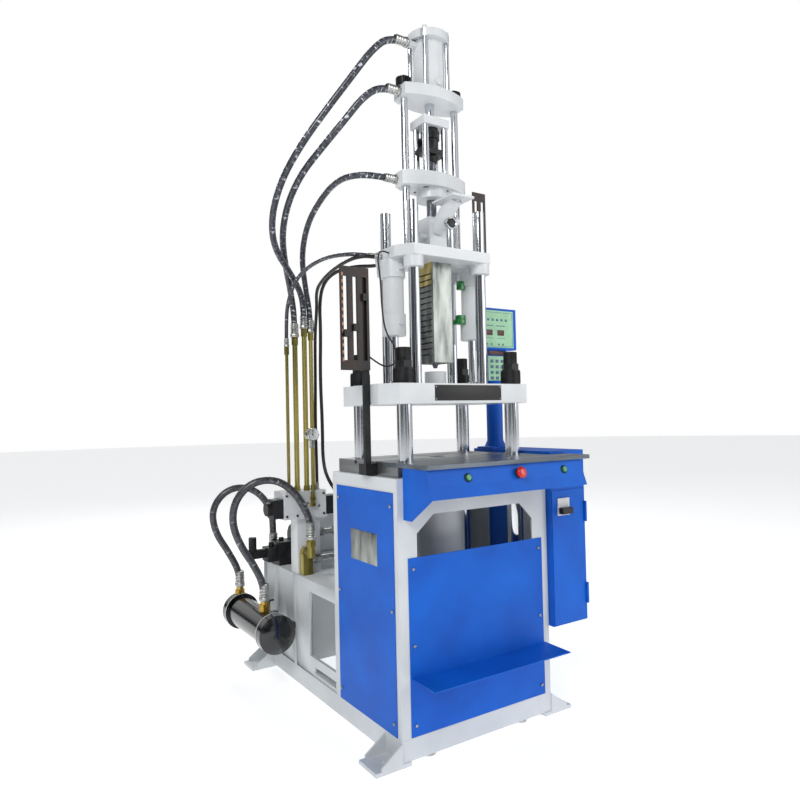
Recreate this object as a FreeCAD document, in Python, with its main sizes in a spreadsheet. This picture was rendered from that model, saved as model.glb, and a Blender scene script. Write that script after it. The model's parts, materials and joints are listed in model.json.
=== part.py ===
import FreeCAD, Part
import math
import os
import re
import Sketcher

# Vertical injection moulding machine. Units are millimetres, +Z is up, the front faces -Y.
# The origin is on the floor, in the middle of the four anchor holes of the feet.

doc = FreeCAD.newDocument("MouldingMachine")
sheet = doc.addObject("Spreadsheet::Sheet", "Sizes")

SIZES = [
    # floor frame and cabinet
    ("anchor_x", 385), ("anchor_y", 551), ("anchor_hole", 18), ("foot_width", 112),
    ("foot_thick", 14), ("frame_half", 340), ("frame_rear", 640), ("beam_top", 86),
    ("beam_width", 62), ("front", -603), ("cabinet_depth", 461), ("cabinet_top", 943),
    ("wall", 8), ("panel_thick", 3), ("opening_half", 263), ("opening_shoulder", 755),
    ("opening_top", 815), ("front_panel_top", 677), ("tray_height", 277), ("tray_reach", 130),
    # clamp
    ("mid", -368), ("bar_x", 249), ("bar_y", 154), ("bar_dia", 54), ("fit", 0.1),
    ("platen_half", 318), ("platen_depth", 422), ("platen_thick", 50),
    ("moving_half", 338), ("moving_depth", 390), ("moving_low", 1193), ("moving_thick", 72),
    ("chamfer_x", 45), ("chamfer_y", 68), ("nut_dia", 74), ("nut_high", 55),
    ("bar_end_dia", 50), ("bar_end_high", 126), ("yoke_low", 300), ("yoke_thick", 50),
    ("clamp_cyl_dia", 180), ("clamp_cyl_low", 420), ("clamp_rod_dia", 90), ("ring_high", 55),
    # work table and cowl
    ("table_thick", 15), ("table_left", -320), ("table_right", 423), ("table_front", -753),
    ("cowl_fold_z", 925), ("cowl_low_z", 885), ("cowl_fold_y", -756), ("cowl_low_y", -771),
    ("cowl_right", 385), ("button_z", 945), ("stop_x", 65), ("start_left_x", -157),
    ("start_right_x", 286), ("button_hole", 22.4),
    # electric box and control box
    ("box_left", 342), ("box_right", 528), ("box_front", -630), ("box_rear", -173),
    ("box_low", 335), ("box_high", 1003), ("post_x", 410), ("post_y", -238), ("post_dia", 70),
    ("post_top", 1280), ("panel_low", 1430), ("panel_high", 1608), ("panel_width", 190),
    # injection unit
    ("guide_x", 156), ("guide_y", 95), ("guide_dia", 42), ("guide_top", 1940),
    ("seat_half", 222), ("seat_depth", 270), ("seat_low", 1735), ("seat_thick", 40),
    ("seat_cyl_x", 186), ("seat_rod_dia", 30), ("seat_cyl_low", 1451), ("throat_top", 1915),
    ("throat_width", 80), ("barrel_dia", 62), ("screw_dia", 38), ("nozzle_tip", 1334),
    ("upright_x", 120), ("upright_dia", 30), ("mid_plate_half", 150), ("plate_half_depth", 74),
    ("mid_plate_low", 2026), ("mid_plate_thick", 55), ("top_plate_half", 139),
    ("top_plate_low", 2368), ("top_plate_thick", 44), ("housing_dia", 122), ("housing_low", 1988),
    ("cross_low", 2272), ("cross_thick", 32), ("pillar_x", 45), ("pillar_y", 33),
    ("pillar_dia", 26), ("inj_cyl_dia", 122), ("inj_cyl_top", 2604), ("inj_cap_dia", 166),
    ("inj_rod_dia", 36), ("tie_offset", 52), ("tie_dia", 18),
    # hydraulics
    ("tank_half", 334), ("tank_front", -142), ("tank_rear", 600), ("tank_top", 475),
    ("cooler_x", -455), ("cooler_z", 255), ("cooler_front", 140), ("cooler_rear", 645),
    ("cooler_dia", 136), ("dome_dia", 160), ("manifold_front", 197), ("manifold_low", 717),
    ("manifold_high", 835), ("manifold_left", -400), ("manifold_right", -202),
    ("rack_x", -344), ("rack_low", 1313), ("rack_high", 1672), ("rack_width", 112),
]
NAMES = {name for name, _ in SIZES}
for row, (name, value) in enumerate(SIZES, start=1):
    sheet.set(f"A{row}", name)
    sheet.set(f"B{row}", str(value))
    sheet.setAlias(f"B{row}", name)
doc.recompute()


def link(text):
    """Turn 'bar_dia / 2' into an expression that reads the size sheet."""
    def prefix(match):
        word = match.group(0)
        return "Sizes." + word if word in NAMES else word
    return re.sub(r"[a-z][a-z_]*", prefix, str(text))


def value_of(text):
    """The number a size expression gives now; only + - * / and brackets are used."""
    probe = sheet.Document.getObject("Probe") or doc.addObject("App::FeaturePython", "Probe")
    if "Value" not in probe.PropertiesList:
        probe.addProperty("App::PropertyFloat", "Value")
    probe.setExpression("Value", link(text))
    probe.recompute()
    return probe.Value


def place(obj, x, y, z, rotation=None):
    if rotation is not None:
        obj.Placement = FreeCAD.Placement(FreeCAD.Vector(), rotation)
    for axis, text in zip("xyz", (x, y, z)):
        obj.setExpression(f"Placement.Base.{axis}", link(text))
    return obj


def box(x0, x1, y0, y1, z0, z1):
    """A block between two corners, each given as a size expression."""
    solid = doc.addObject("Part::Box", "Block")
    for prop, low, high in (("Length", x0, x1), ("Width", y0, y1), ("Height", z0, z1)):
        solid.setExpression(prop, link(f"({high}) - ({low})"))
    return place(solid, x0, y0, z0)


TURN = {
    "z": FreeCAD.Rotation(),
    "x": FreeCAD.Rotation(FreeCAD.Vector(0, 1, 0), 90),
    "y": FreeCAD.Rotation(FreeCAD.Vector(1, 0, 0), -90),
}


def rod(x, y, z, dia, length, along="z"):
    """A round bar that starts at a point and runs along +X, +Y or +Z."""
    solid = doc.addObject("Part::Cylinder", "Rod")
    solid.setExpression("Radius", link(f"({dia}) / 2"))
    solid.setExpression("Height", link(length))
    return place(solid, x, y, z, TURN[along])


def cone(x, y, z, dia_low, dia_high, length, along="z"):
    solid = doc.addObject("Part::Cone", "Taper")
    solid.setExpression("Radius1", link(f"({dia_low}) / 2"))
    solid.setExpression("Radius2", link(f"({dia_high}) / 2"))
    solid.setExpression("Height", link(length))
    return place(solid, x, y, z, TURN[along])


def hexagon(x, y, z, across_corners, length, along="z"):
    solid = doc.addObject("Part::Prism", "Hex")
    solid.Polygon = 6
    solid.setExpression("Circumradius", link(f"({across_corners}) / 2"))
    solid.setExpression("Height", link(length))
    return place(solid, x, y, z, TURN[along])


PLANE = {
    "z": FreeCAD.Rotation(),
    "x": FreeCAD.Rotation(FreeCAD.Vector(1, 1, 1), 120),
    "y": FreeCAD.Rotation(FreeCAD.Vector(1, 0, 0), -90),
}


def profile(points, start, length, along="z"):
    """A sketched outline, padded. Points are (x, y) along z, (y, z) along x, (x, -z) along y."""
    body = doc.addObject("PartDesign::Body", "Profile")
    sketch = body.newObject("Sketcher::SketchObject", "Outline")
    corners = [FreeCAD.Vector(value_of(u), value_of(v), 0) for u, v in points]
    count = len(points)
    for i in range(count):
        sketch.addGeometry(Part.LineSegment(corners[i], corners[(i + 1) % count]), False)
    for i in range(count):
        sketch.addConstraint(Sketcher.Constraint("Coincident", i, 2, (i + 1) % count, 1))
    for i, (u, v) in enumerate(points):
        for kind, text, now in (("DistanceX", u, corners[i].x), ("DistanceY", v, corners[i].y)):
            index = sketch.addConstraint(Sketcher.Constraint(kind, -1, 1, i, 1, now))
            sketch.setExpression(f"Constraints[{index}]", link(text))
    pad = body.newObject("PartDesign::Pad", "Pad")
    pad.Profile = sketch
    pad.setExpression("Length", link(length))
    at = {"z": ("0", "0", start), "x": (start, "0", "0"), "y": ("0", start, "0")}[along]
    return place(body, *at, rotation=PLANE[along])


def fuse(*solids):
    if len(solids) == 1:
        return solids[0]
    joined = doc.addObject("Part::MultiFuse", "Joined")
    joined.Shapes = list(solids)
    return joined


def cut(base, *tools):
    result = doc.addObject("Part::Cut", "Trimmed")
    result.Base = base
    result.Tool = fuse(*tools)
    return result


def common(*solids):
    result = doc.addObject("Part::MultiCommon", "Shared")
    result.Shapes = list(solids)
    return result


def group(*solids):
    """Separate pieces of one node: an unjoined compound."""
    result = doc.addObject("Part::Compound", "Set")
    result.Links = list(solids)
    return result


NODES = []


def node(name, solid):
    solid.Label = name
    NODES.append((name, solid))
    return solid


def four(x, y, make):
    """Four copies about the machine's middle line."""
    return [make(f"{sx}({x})", f"mid {sy} ({y})") for sx in ("", "-") for sy in ("+", "-")]


def chamfered(half, depth, low, thick):
    """A plate with its four upright corners cut off, about the machine's middle line."""
    ring = []
    for sx, sy, swap in (("", "-", 0), ("", "+", 1), ("-", "+", 0), ("-", "-", 1)):
        side = (f"{sx}({half})", f"mid {sy} (({depth}) / 2 - chamfer_y)")
        face = (f"{sx}(({half}) - chamfer_x)", f"mid {sy} ({depth}) / 2")
        ring += [side, face] if swap else [face, side]
    return profile(ring, low, thick)


def barrelled(half, half_depth, side_depth, low, thick):
    """A plate with flat ends and bulged front and back."""
    sag = f"(({half_depth}) - ({side_depth}))"
    radius = f"(({half}) * ({half}) + {sag} * {sag}) / (2 * {sag})"
    blank = box(f"-({half})", half, f"mid - ({half_depth})", f"mid + ({half_depth})",
                low, f"({low}) + ({thick})")
    front_arc = rod("0", f"mid - ({half_depth}) + {radius}", low, f"2 * {radius}", thick)
    rear_arc = rod("0", f"mid + ({half_depth}) - {radius}", low, f"2 * {radius}", thick)
    return common(blank, front_arc, rear_arc)


# ---------------------------------------------------------------- floor frame
rails = [box(f"{a}", f"{b}", "front", "frame_rear", "foot_thick", "beam_top")
         for a, b in (("-frame_half", "beam_width - frame_half"),
                      ("frame_half - beam_width", "frame_half"))]
crossbars = [box("beam_width - frame_half - 1", "frame_half - beam_width + 1",
                 y, f"{y} + beam_width", "foot_thick", "beam_top")
             for y in ("front", "tank_front - beam_width", "frame_rear - beam_width")]
feet, foot_holes = [], []
for sx in ("-", ""):
    inner, outer = f"{sx}(anchor_x - 80)", f"{sx}(anchor_x + 58)"
    x0, x1 = (outer, inner) if sx else (inner, outer)
    for sy in ("-", ""):
        y_mid = f"{sy}anchor_y"
        feet.append(box(x0, x1, f"{y_mid} - foot_width / 2", f"{y_mid} + foot_width / 2",
                        "0", "foot_thick"))
        foot_holes.append(rod(f"{sx}anchor_x", y_mid, "-1", "anchor_hole", "foot_thick + 2"))
        lip = [(f"{sx}(frame_half - 1)", "1 - foot_thick"), (f"{sx}(frame_half - 1)", "6 - beam_top"),
               (f"{sx}(anchor_x + 36)", "-foot_thick - 10"), (f"{sx}(anchor_x + 36)", "1 - foot_thick")]
        for end in ("- foot_width / 2", "+ foot_width / 2 - 8"):
            feet.append(profile(lip, f"{y_mid} {end}", "8", "y"))
node("base_frame", cut(fuse(*rails, *crossbars, *feet), *foot_holes))

# levelling screws under the crossbars and the small screws of the sheet panels
levelling = []
for x, y in (("frame_half - 130", "front + 31"), ("130 - frame_half", "front + 31"),
             ("frame_half - 130", "frame_rear - 31"), ("130 - frame_half", "frame_rear - 31")):
    levelling.append(fuse(rod(x, y, "0", "44", "7"), rod(x, y, "6", "12", "foot_thick - 6")))
panel_screws = []
for z in ("130", "500", "850"):
    for y in ("front + 38", "front + 409"):
        panel_screws.append(rod("-frame_half - panel_thick - 3", y, z, "11", "3", "x"))
for z in ("125", "385", "640"):
    for x in ("-284", "290"):
        panel_screws.append(rod(x, "front - panel_thick - 3", z, "11", "3", "y"))
node("fixings", group(*levelling, *panel_screws))

# ---------------------------------------------------------------- cabinet
shell = cut(
    box("-frame_half", "frame_half", "front", "front + cabinet_depth", "beam_top", "cabinet_top"),
    box("wall - frame_half", "frame_half - wall", "front + wall", "front + cabinet_depth - wall",
        "beam_top - 1", "cabinet_top - 12"),
    box("-opening_half", "opening_half", "front - 1", "front + wall + 1",
        "beam_top + 30", "opening_shoulder"),
    box("-180", "180", "front + cabinet_depth - wall - 1", "front + cabinet_depth + 1", "300", "900"),
    *four("bar_x", "bar_y", lambda x, y: rod(x, y, "cabinet_top - 20", "bar_dia + 16", "30")),
    rod("0", "mid", "cabinet_top - 20", "clamp_cyl_dia - 30", "30"),
    box("frame_half - wall - 1", "frame_half + 1", "front + 120", "front + 330", "500", "800"))
# the mouth narrows towards its top, with a sloped corner at each side
mouth = profile([("-opening_half", "-opening_shoulder"), ("opening_half", "-opening_shoulder"),
                 ("205", "-opening_top"), ("-192", "-opening_top")], "front - 2", "wall + 4", "y")
node("cabinet", cut(shell, mouth))

node("side_panels", group(
    box("-frame_half - panel_thick", "-frame_half", "front + 23", "front + 424", "88", "895"),
    cut(box("frame_half", "frame_half + 2", "front + 20", "front + 450", "88", "330"),
        rod("frame_half - 1", "front + 236", "210", "60", "4", "x"))))

panel = box("-302", "308", "front - panel_thick", "front", "88", "front_panel_top")
tray = profile([("front - panel_thick + 1", "tray_height"),
                ("front - panel_thick + 1", "tray_height + 4"),
                ("front - tray_reach", "tray_height + 1"),
                ("front - tray_reach", "tray_height - 3")], "-296", "611", "x")
node("front_panel", fuse(panel, tray))

# ---------------------------------------------------------------- fixed platen and table
fixed = box("-platen_half", "platen_half", "front + 24", "front + 24 + platen_depth",
            "cabinet_top", "cabinet_top + platen_thick")
slots = [box("-platen_half - 1", "platen_half + 1", f"mid {s} 9", f"mid {s} 9 + 18",
             "cabinet_top + platen_thick - 14", "cabinet_top + platen_thick + 1")
         for s in ("- 78 -", "+ 60 +")]
tapped = [rod(x, y, "cabinet_top + platen_thick - 30", "12", "40")
          for x in ("-105", "105") for y in ("mid - 105", "mid + 105")]
rebate = box("-platen_half - 1", "platen_half + 1", "front", "mid - 120",
             "cabinet_top + platen_thick - table_thick", "cabinet_top + platen_thick + 1")
node("fixed_platen", cut(
    fixed, rebate, *slots, *tapped, rod("0", "mid", "cabinet_top - 1", "60", "platen_thick + 2"),
    *four("bar_x", "bar_y", lambda x, y: rod(x, y, "cabinet_top - 1", "bar_dia + fit",
                                             "platen_thick + 2"))))

table_low = "(cabinet_top + platen_thick - table_thick)"
plate = profile([("table_left", "table_front"), ("table_right", "table_front"),
                 ("table_right", "box_front - 2"), ("box_left - 2", "box_front - 2"),
                 ("box_left - 2", "mid - 120"), ("table_left", "mid - 120")],
                table_low, "table_thick")
node("work_table", cut(plate, *[rod(x, "mid - bar_y", "cabinet_top", "bar_dia + 1", "platen_thick + 2")
                                for x in ("-bar_x", "bar_x")]))

# cowl under the table: a folded front with side cheeks
sheet_outer = [("table_front + 12", table_low), ("cowl_fold_y", "cowl_fold_z"),
               ("cowl_low_y", "cowl_low_z"), ("cowl_low_y + 3", "cowl_low_z - 1"),
               ("cowl_fold_y + 3", "cowl_fold_z"), ("table_front + 15", table_low)]
cowl_front = profile(sheet_outer, "table_left + 4", "cowl_right - table_left - 4", "x")
cheek = [("table_front + 13", table_low), ("cowl_fold_y + 1", "cowl_fold_z"),
         ("cowl_low_y + 1", "cowl_low_z"), ("front - 48", "806"), ("front - 1", "806"),
         ("front - 1", table_low)]
cheeks = [profile(cheek, "table_left + 4", "3", "x"), profile(
    [("table_front + 13", table_low), ("cowl_fold_y + 1", "cowl_fold_z"),
     ("cowl_low_y + 1", "cowl_low_z"), ("box_front - 3", "cowl_low_z"),
     ("box_front - 3", table_low)], "cowl_right - 3", "3", "x")]
lean = math.degrees(math.atan2(value_of("table_front + 12 - cowl_fold_y"),
                               value_of(f"{table_low} - cowl_fold_z")))
OUTWARD = FreeCAD.Rotation(FreeCAD.Vector(1, 0, 0), 90 - lean)


def facing(x, start, dia, length):
    """A round piece whose axis stands square on the cowl's upper face, starting off it."""
    rise, run = math.cos(math.radians(lean)), math.sin(math.radians(lean))
    solid = doc.addObject("Part::Cylinder", "Button")
    solid.setExpression("Radius", link(f"({dia}) / 2"))
    solid.setExpression("Height", link(length))
    solid.Placement = FreeCAD.Placement(FreeCAD.Vector(), OUTWARD)
    share = f"((button_z - cowl_fold_z) / ({table_low} - cowl_fold_z))"
    face_y = f"(cowl_fold_y + {share} * (table_front + 12 - cowl_fold_y))"
    return place(solid, x, f"{face_y} - ({start}) * {rise:.6f}", f"button_z + ({start}) * {run:.6f}",
                 OUTWARD)


node("apron", cut(fuse(cowl_front, *cheeks),
                  *[facing(x, "-12", "button_hole", "30")
                    for x in ("stop_x", "start_left_x", "start_right_x")]))
node("estop_button", fuse(facing("stop_x", "-18", "22", "31"), facing("stop_x", "12", "40", "15")))
for side in ("left", "right"):
    node(f"start_button_{side}", facing(f"start_{side}_x", "-16", "22", "24"))

# ---------------------------------------------------------------- electric box
hollow = box("box_left + 2", "box_right - 2", "box_front + 4", "box_rear - 2", "box_low + 2",
             "box_high - 2")
case = cut(box("box_left", "box_right", "box_front + 3", "box_rear", "box_low", "box_high"), hollow,
           box("box_left + 14", "box_right - 14", "box_front", "box_front + 8", "box_low + 14",
               "box_high - 160"))
rack_tray = box("box_left + 30", "box_right - 30", "box_rear - 12", "box_rear - 8", "box_low + 40",
                "box_high - 200")
stay = box("box_left + 60", "box_left + 90", "box_rear - 9", "box_rear - 1", "box_low + 60",
           "box_low + 500")
bracket = box("frame_half", "box_left + 1", "front + 60", "front + 400", "600", "760")
# two pin hinges in front of the door's right edge: pin and end knuckles on the box,
# the middle knuckle on the door
hinge_x, hinge_y = "(box_right - 4)", "(box_front - 5.4)"
pins, door_knuckles = [], []
for z in ("400", "720"):
    for end in (z, f"{z} + 60.5"):
        pins.append(rod(hinge_x, hinge_y, end, "10", "19.5"))
        pins.append(box(f"{hinge_x} + 0.4", "box_right", hinge_y, "box_front + 4", end, f"{end} + 19.5"))
    pins.append(rod(hinge_x, hinge_y, f"{z} + 1", "5", "78"))
    door_knuckles.append(cut(
        fuse(rod(hinge_x, hinge_y, f"{z} + 20", "10", "40"),
             box(f"{hinge_x} - 5", hinge_x, hinge_y, "box_front + 1", f"{z} + 20", f"{z} + 60")),
        rod(hinge_x, hinge_y, z, "5 + fit", "80")))
node("electric_box", fuse(case, rack_tray, stay, bracket, *pins))
switch_x, switch_z = "(box_left + 62)", "788"
node("box_door", cut(
    fuse(*door_knuckles,
         box("box_left + 4", "box_right - 4", "box_front", "box_front + 2.6", "box_low + 4",
             "box_high - 152"),
         box(f"{switch_x} - 31", f"{switch_x} + 31", "box_front - 5", "box_front + 0.5",
             f"{switch_z} - 33", f"{switch_z} + 33")),
    rod(switch_x, "box_front - 8", f"{switch_z} - 14", "20.2", "16", "y")))
node("main_switch", fuse(
    rod(switch_x, "box_front - 8", f"{switch_z} - 14", "20", "12", "y"),
    box(f"{switch_x} - 28", f"{switch_x} + 28", "box_front - 28", "box_front - 7",
        f"{switch_z} - 26", f"{switch_z} - 2")))

# ---------------------------------------------------------------- control box on its post
node("pedestal", fuse(
    box("post_x - 62", "post_x + 62", "post_y - 50", "post_y + 50", "box_high", "box_high + 8"),
    cut(rod("post_x", "post_y", "box_high + 8", "post_dia", "post_top - box_high - 8"),
        rod("post_x", "post_y", "post_top - 60", "40.1", "61")),
    cone("post_x", "post_y", "box_high + 8", "post_dia + 24", "post_dia", "26")))
case_y0, case_y1 = "(post_y - 50)", "(post_y + 45)"
node("control_box", fuse(
    rod("post_x", "post_y", "post_top - 55", "40", "80"),
    rod("post_x", "post_y", "post_top + 0.4", "96", "12"),
    box("post_x - 62", "post_x + 46", "post_y - 34", "post_y + 34", "post_top + 12", "panel_low + 1"),
    box("post_x - 98", "post_x - 98 + panel_width", case_y0, case_y1, "panel_low", "panel_high")))
node("control_face", fuse(
    box("post_x - 90", "post_x - 116 + panel_width", f"{case_y0} - 2", case_y0, "panel_low + 8",
        "panel_high - 10"),
    box("post_x - 60", "post_x + 42", "post_y - 36", "post_y - 34", "post_top + 16",
        "panel_low - 28")))

# ---------------------------------------------------------------- clamp
node("clamp_cylinder", cut(
    fuse(rod("0", "mid", "clamp_cyl_low", "clamp_cyl_dia", "cabinet_top - clamp_cyl_low - 12"),
         rod("0", "mid", "cabinet_top - 32", "clamp_cyl_dia + 60", "20"),
         rod("0", "mid", "clamp_cyl_low", "clamp_cyl_dia + 26", "44"),
         rod("-clamp_cyl_dia / 2 - 24", "mid", "clamp_cyl_low + 90", "38", "40", "x")),
    rod("0", "mid", "clamp_cyl_low - 1", "clamp_rod_dia + fit", "62"),
    rod("0", "mid", "clamp_cyl_low + 60", "clamp_cyl_dia - 36", "400")))
node("clamp_yoke", fuse(
    cut(box("-moving_half + 30", "moving_half - 30", "mid - 190", "mid + 190", "yoke_low",
            "yoke_low + yoke_thick"),
        *four("bar_x", "bar_y", lambda x, y: rod(x, y, "yoke_low - 1", "bar_dia - 10",
                                                 "yoke_thick + 2"))),
    rod("0", "mid", "yoke_low + yoke_thick - 1", "clamp_rod_dia", "370"),
    rod("0", "mid", "yoke_low + yoke_thick + 330", "clamp_cyl_dia - 37", "40")))
bars = four("bar_x", "bar_y", lambda x, y: fuse(
    rod(x, y, "yoke_low - 46", "bar_dia - 10", "yoke_thick + 47"),
    rod(x, y, "yoke_low + yoke_thick", "bar_dia", "moving_low - yoke_low - yoke_thick"),
    rod(x, y, "moving_low - 1", "bar_end_dia", "moving_thick + bar_end_high + 1")))
node("tie_bars", group(*bars))
top_nuts = four("bar_x", "bar_y", lambda x, y: cut(
    fuse(rod(x, y, "moving_low + moving_thick", "nut_dia", "nut_high"),
         hexagon(x, y, "moving_low + moving_thick + nut_high - 1", "66", "26")),
    rod(x, y, "moving_low", "bar_end_dia", "300")))
low_nuts = four("bar_x", "bar_y", lambda x, y: cut(
    hexagon(x, y, "yoke_low - 34", "72", "34"), rod(x, y, "yoke_low - 60", "bar_dia - 10", "90")))
node("tie_bar_nuts", group(*top_nuts, *low_nuts))
moving_top = "(moving_low + moving_thick)"
node("moving_platen", cut(
    chamfered("moving_half", "moving_depth", "moving_low", "moving_thick"),
    *four("bar_x", "bar_y", lambda x, y: rod(x, y, "moving_low - 1", "bar_end_dia",
                                             "moving_thick + 2")),
    *four("guide_x", "guide_y", lambda x, y: rod(x, y, f"{moving_top} - 40", "30", "60")),
    *four("105", "105", lambda x, y: rod(x, y, "moving_low - 1", "12", "31")),
    rod("0", "mid", "moving_low - 1", "46", "moving_thick + 2")))
node("locating_ring", cut(rod("0", "mid", moving_top, "84", "ring_high"),
                          rod("0", "mid", f"{moving_top} - 1", "46", "ring_high + 2")))
columns = four("guide_x", "guide_y", lambda x, y: fuse(
    rod(x, y, f"{moving_top} - 40", "30", "41"),
    rod(x, y, moving_top, "guide_dia", f"guide_top - {moving_top}")))
seat_rods = [fuse(rod(x, "mid", moving_top, "seat_rod_dia", f"seat_cyl_low + 180 - {moving_top}"),
                  rod(x, "mid", moving_top, "54", "16"),
                  rod(x, "mid", "seat_cyl_low + 160", "49.9", "20"))
             for x in ("-seat_cyl_x", "seat_cyl_x")]
node("carriage_rods", group(*columns, *seat_rods))

# ---------------------------------------------------------------- injection seat
seat_high = "(seat_low + seat_thick)"
guide_holes = four("guide_x", "guide_y", lambda x, y: rod(
    x, y, "seat_low - 60", "guide_dia + fit", "seat_thick + 80"))
node("seat_plate", cut(
    fuse(chamfered("seat_half", "seat_depth", "seat_low", "seat_thick"),
         *four("guide_x", "guide_y", lambda x, y: rod(x, y, "seat_low - 40", "guide_dia + 32", "41"))),
    *guide_holes, rod("0", "mid", "seat_low - 1", "barrel_dia + fit", "seat_thick + 2"),
    *[rod(x, "mid", "seat_low - 1", "40 + fit", "seat_thick + 2") for x in ("-seat_cyl_x", "seat_cyl_x")]))
seat_cylinders = [cut(
    fuse(rod(x, "mid", "seat_low - 68", "92", "68"), rod(x, "mid", "seat_cyl_low", "78", "284"),
         rod(x, "mid", "seat_cyl_low", "90", "80"), rod(x, "mid", "seat_low - 1", "40", "30"),
         rod(x, "mid - 52", "seat_cyl_low + 50", "24", "20", "y"),
         rod(x, "mid - 50", "seat_low - 30", "24", "20", "y")),
    rod(x, "mid", "seat_cyl_low - 1", "seat_rod_dia + fit", "32"),
    rod(x, "mid", "seat_cyl_low + 30", "50", "200"))
    for x in ("-seat_cyl_x", "seat_cyl_x")]
node("seat_cylinders", group(*seat_cylinders))

nozzle = cone("0", "mid", "nozzle_tip", "14", "50", "46")
node("barrel", cut(
    fuse(nozzle, rod("0", "mid", "nozzle_tip + 46", "50", "30"),
         rod("0", "mid", "nozzle_tip + 70", "barrel_dia", "throat_top - nozzle_tip - 85")),
    rod("0", "mid", "nozzle_tip + 60", "screw_dia + fit", "600"),
    rod("0", "mid", "nozzle_tip - 1", "5", "80"),
    rod("0", "mid - 60", "throat_top - 60", "26", "50", "y")))
shield_low, shield_high = "1352", "seat_low"
node("heat_shield", cut(
    box("-44", "44", "mid - 58", "mid + 52", shield_low, shield_high),
    box("-42.5", "42.5", "mid - 56.5", "mid + 50.5", f"{shield_low} - 1", f"{shield_high} - 2"),
    rod("0", "mid", f"{shield_high} - 5", "barrel_dia + 2", "10"),
    *[box("-45", "-41", "mid - 46", "mid + 40", f"{shield_low} + {z}", f"{shield_low} + {z} + 5")
      for z in range(30, 360, 22)]))

half_throat = "(throat_width / 2)"
HOPPER_Y = "mid - 137"
incline = FreeCAD.Rotation(FreeCAD.Vector(0, 0, 1), FreeCAD.Vector(0, -107, 82))
chute = doc.addObject("Part::Cylinder", "Chute")
chute.Radius, chute.Height = 30, 150
place(chute, "0", "mid - 30", "throat_top - 47", incline)
chute_hole = doc.addObject("Part::Cylinder", "ChuteHole")
chute_hole.Radius, chute_hole.Height = 24, 170
place(chute_hole, "0", "mid - 30", "throat_top - 47", incline)
hopper_plate_low = "(throat_top + 35)"
hopper_plate = cut(
    box("-50", "50", "mid - 201", "mid - 73", hopper_plate_low, f"{hopper_plate_low} + 8"),
    rod("0", HOPPER_Y, f"{hopper_plate_low} - 4", "50", "20"))
above_plate = box("-100", "100", "mid - 300", "mid + 100", hopper_plate_low, "throat_top + 300")
node("feed_throat", fuse(
    cut(fuse(box(f"-{half_throat}", half_throat, f"mid - {half_throat}", f"mid + {half_throat}",
                 seat_high, "throat_top"),
             rod(f"-{half_throat} - 34", "mid - 10", "throat_top - 72", "30", "36", "x"),
             cut(chute, above_plate)),
        rod("0", "mid", f"{seat_high} - 1", "barrel_dia + fit", "throat_top - seat_low - 54"),
        rod("0", "mid", f"{seat_high} - 1", "screw_dia + fit + 2", "300"), chute_hole),
    hopper_plate,
    rod("-20", f"mid - {half_throat} - 9", "throat_top - 20", "30", "10", "y"),
    rod("20", "mid - 82", "throat_top - 20", "18", "24", "x"),
    rod("40", "mid - 82", "throat_top - 20", "40", "18", "x")))

mid_high = "(mid_plate_low + mid_plate_thick)"
top_high = "(top_plate_low + top_plate_thick)"
uprights = [fuse(rod(x, "mid", seat_high, "upright_dia", f"top_plate_low - ({seat_high})"),
                 rod(x, "mid", "top_plate_low - 1", "upright_dia - 6", "top_plate_thick + 42"),
                 rod(x, "mid", seat_high, "upright_dia + 16", "12"),
                 hexagon(x, "mid", top_high, "56", "34"))
            for x in ("-upright_x", "upright_x")]
node("uprights", group(*uprights))
pillar_holes = four("pillar_x", "pillar_y", lambda x, y: rod(
    x, y, "mid_plate_low - 1", "pillar_dia + fit", "300"))
node("middle_plate", cut(
    fuse(cut(barrelled("mid_plate_half", "plate_half_depth", "26", "mid_plate_low", "mid_plate_thick"),
             *pillar_holes),
         rod("0", "mid", "housing_low", "housing_dia", "mid_plate_low - housing_low")),
    *[rod(x, "mid", "mid_plate_low - 90", "upright_dia + fit", "300")
      for x in ("-upright_x", "upright_x")],
    rod("0", "mid", "housing_low - 1", "screw_dia + fit", "300")))
node("top_plate", cut(
    barrelled("top_plate_half", "plate_half_depth", "40", "top_plate_low", "top_plate_thick"),
    *[rod(x, "mid", "top_plate_low - 9", "upright_dia - 6 + fit", "300")
      for x in ("-upright_x", "upright_x")],
    rod("0", "mid", "top_plate_low - 1", "inj_rod_dia + fit", "300")))
ties = [rod(f"{sx}tie_offset", f"mid {sy} tie_offset", top_high, "tie_dia",
            f"inj_cyl_top + 42 - ({top_high})") for sx in ("", "-") for sy in ("+", "-")]
node("injection_cylinder", cut(
    fuse(rod("0", "mid", top_high, "inj_cyl_dia", f"inj_cyl_top - ({top_high}) + 1"),
         rod("0", "mid", "inj_cyl_top", "inj_cap_dia", "30"), *ties,
         rod("-inj_cap_dia / 2 - 14", "mid", "inj_cyl_top - 14", "26", "42", "x"),
         rod("0", "mid - inj_cyl_dia / 2 - 8", f"{top_high} + 24", "24", "20", "y")),
    rod("0", "mid", f"{top_high} - 1", "90", "inj_cyl_top - top_plate_low - 40")))

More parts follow.
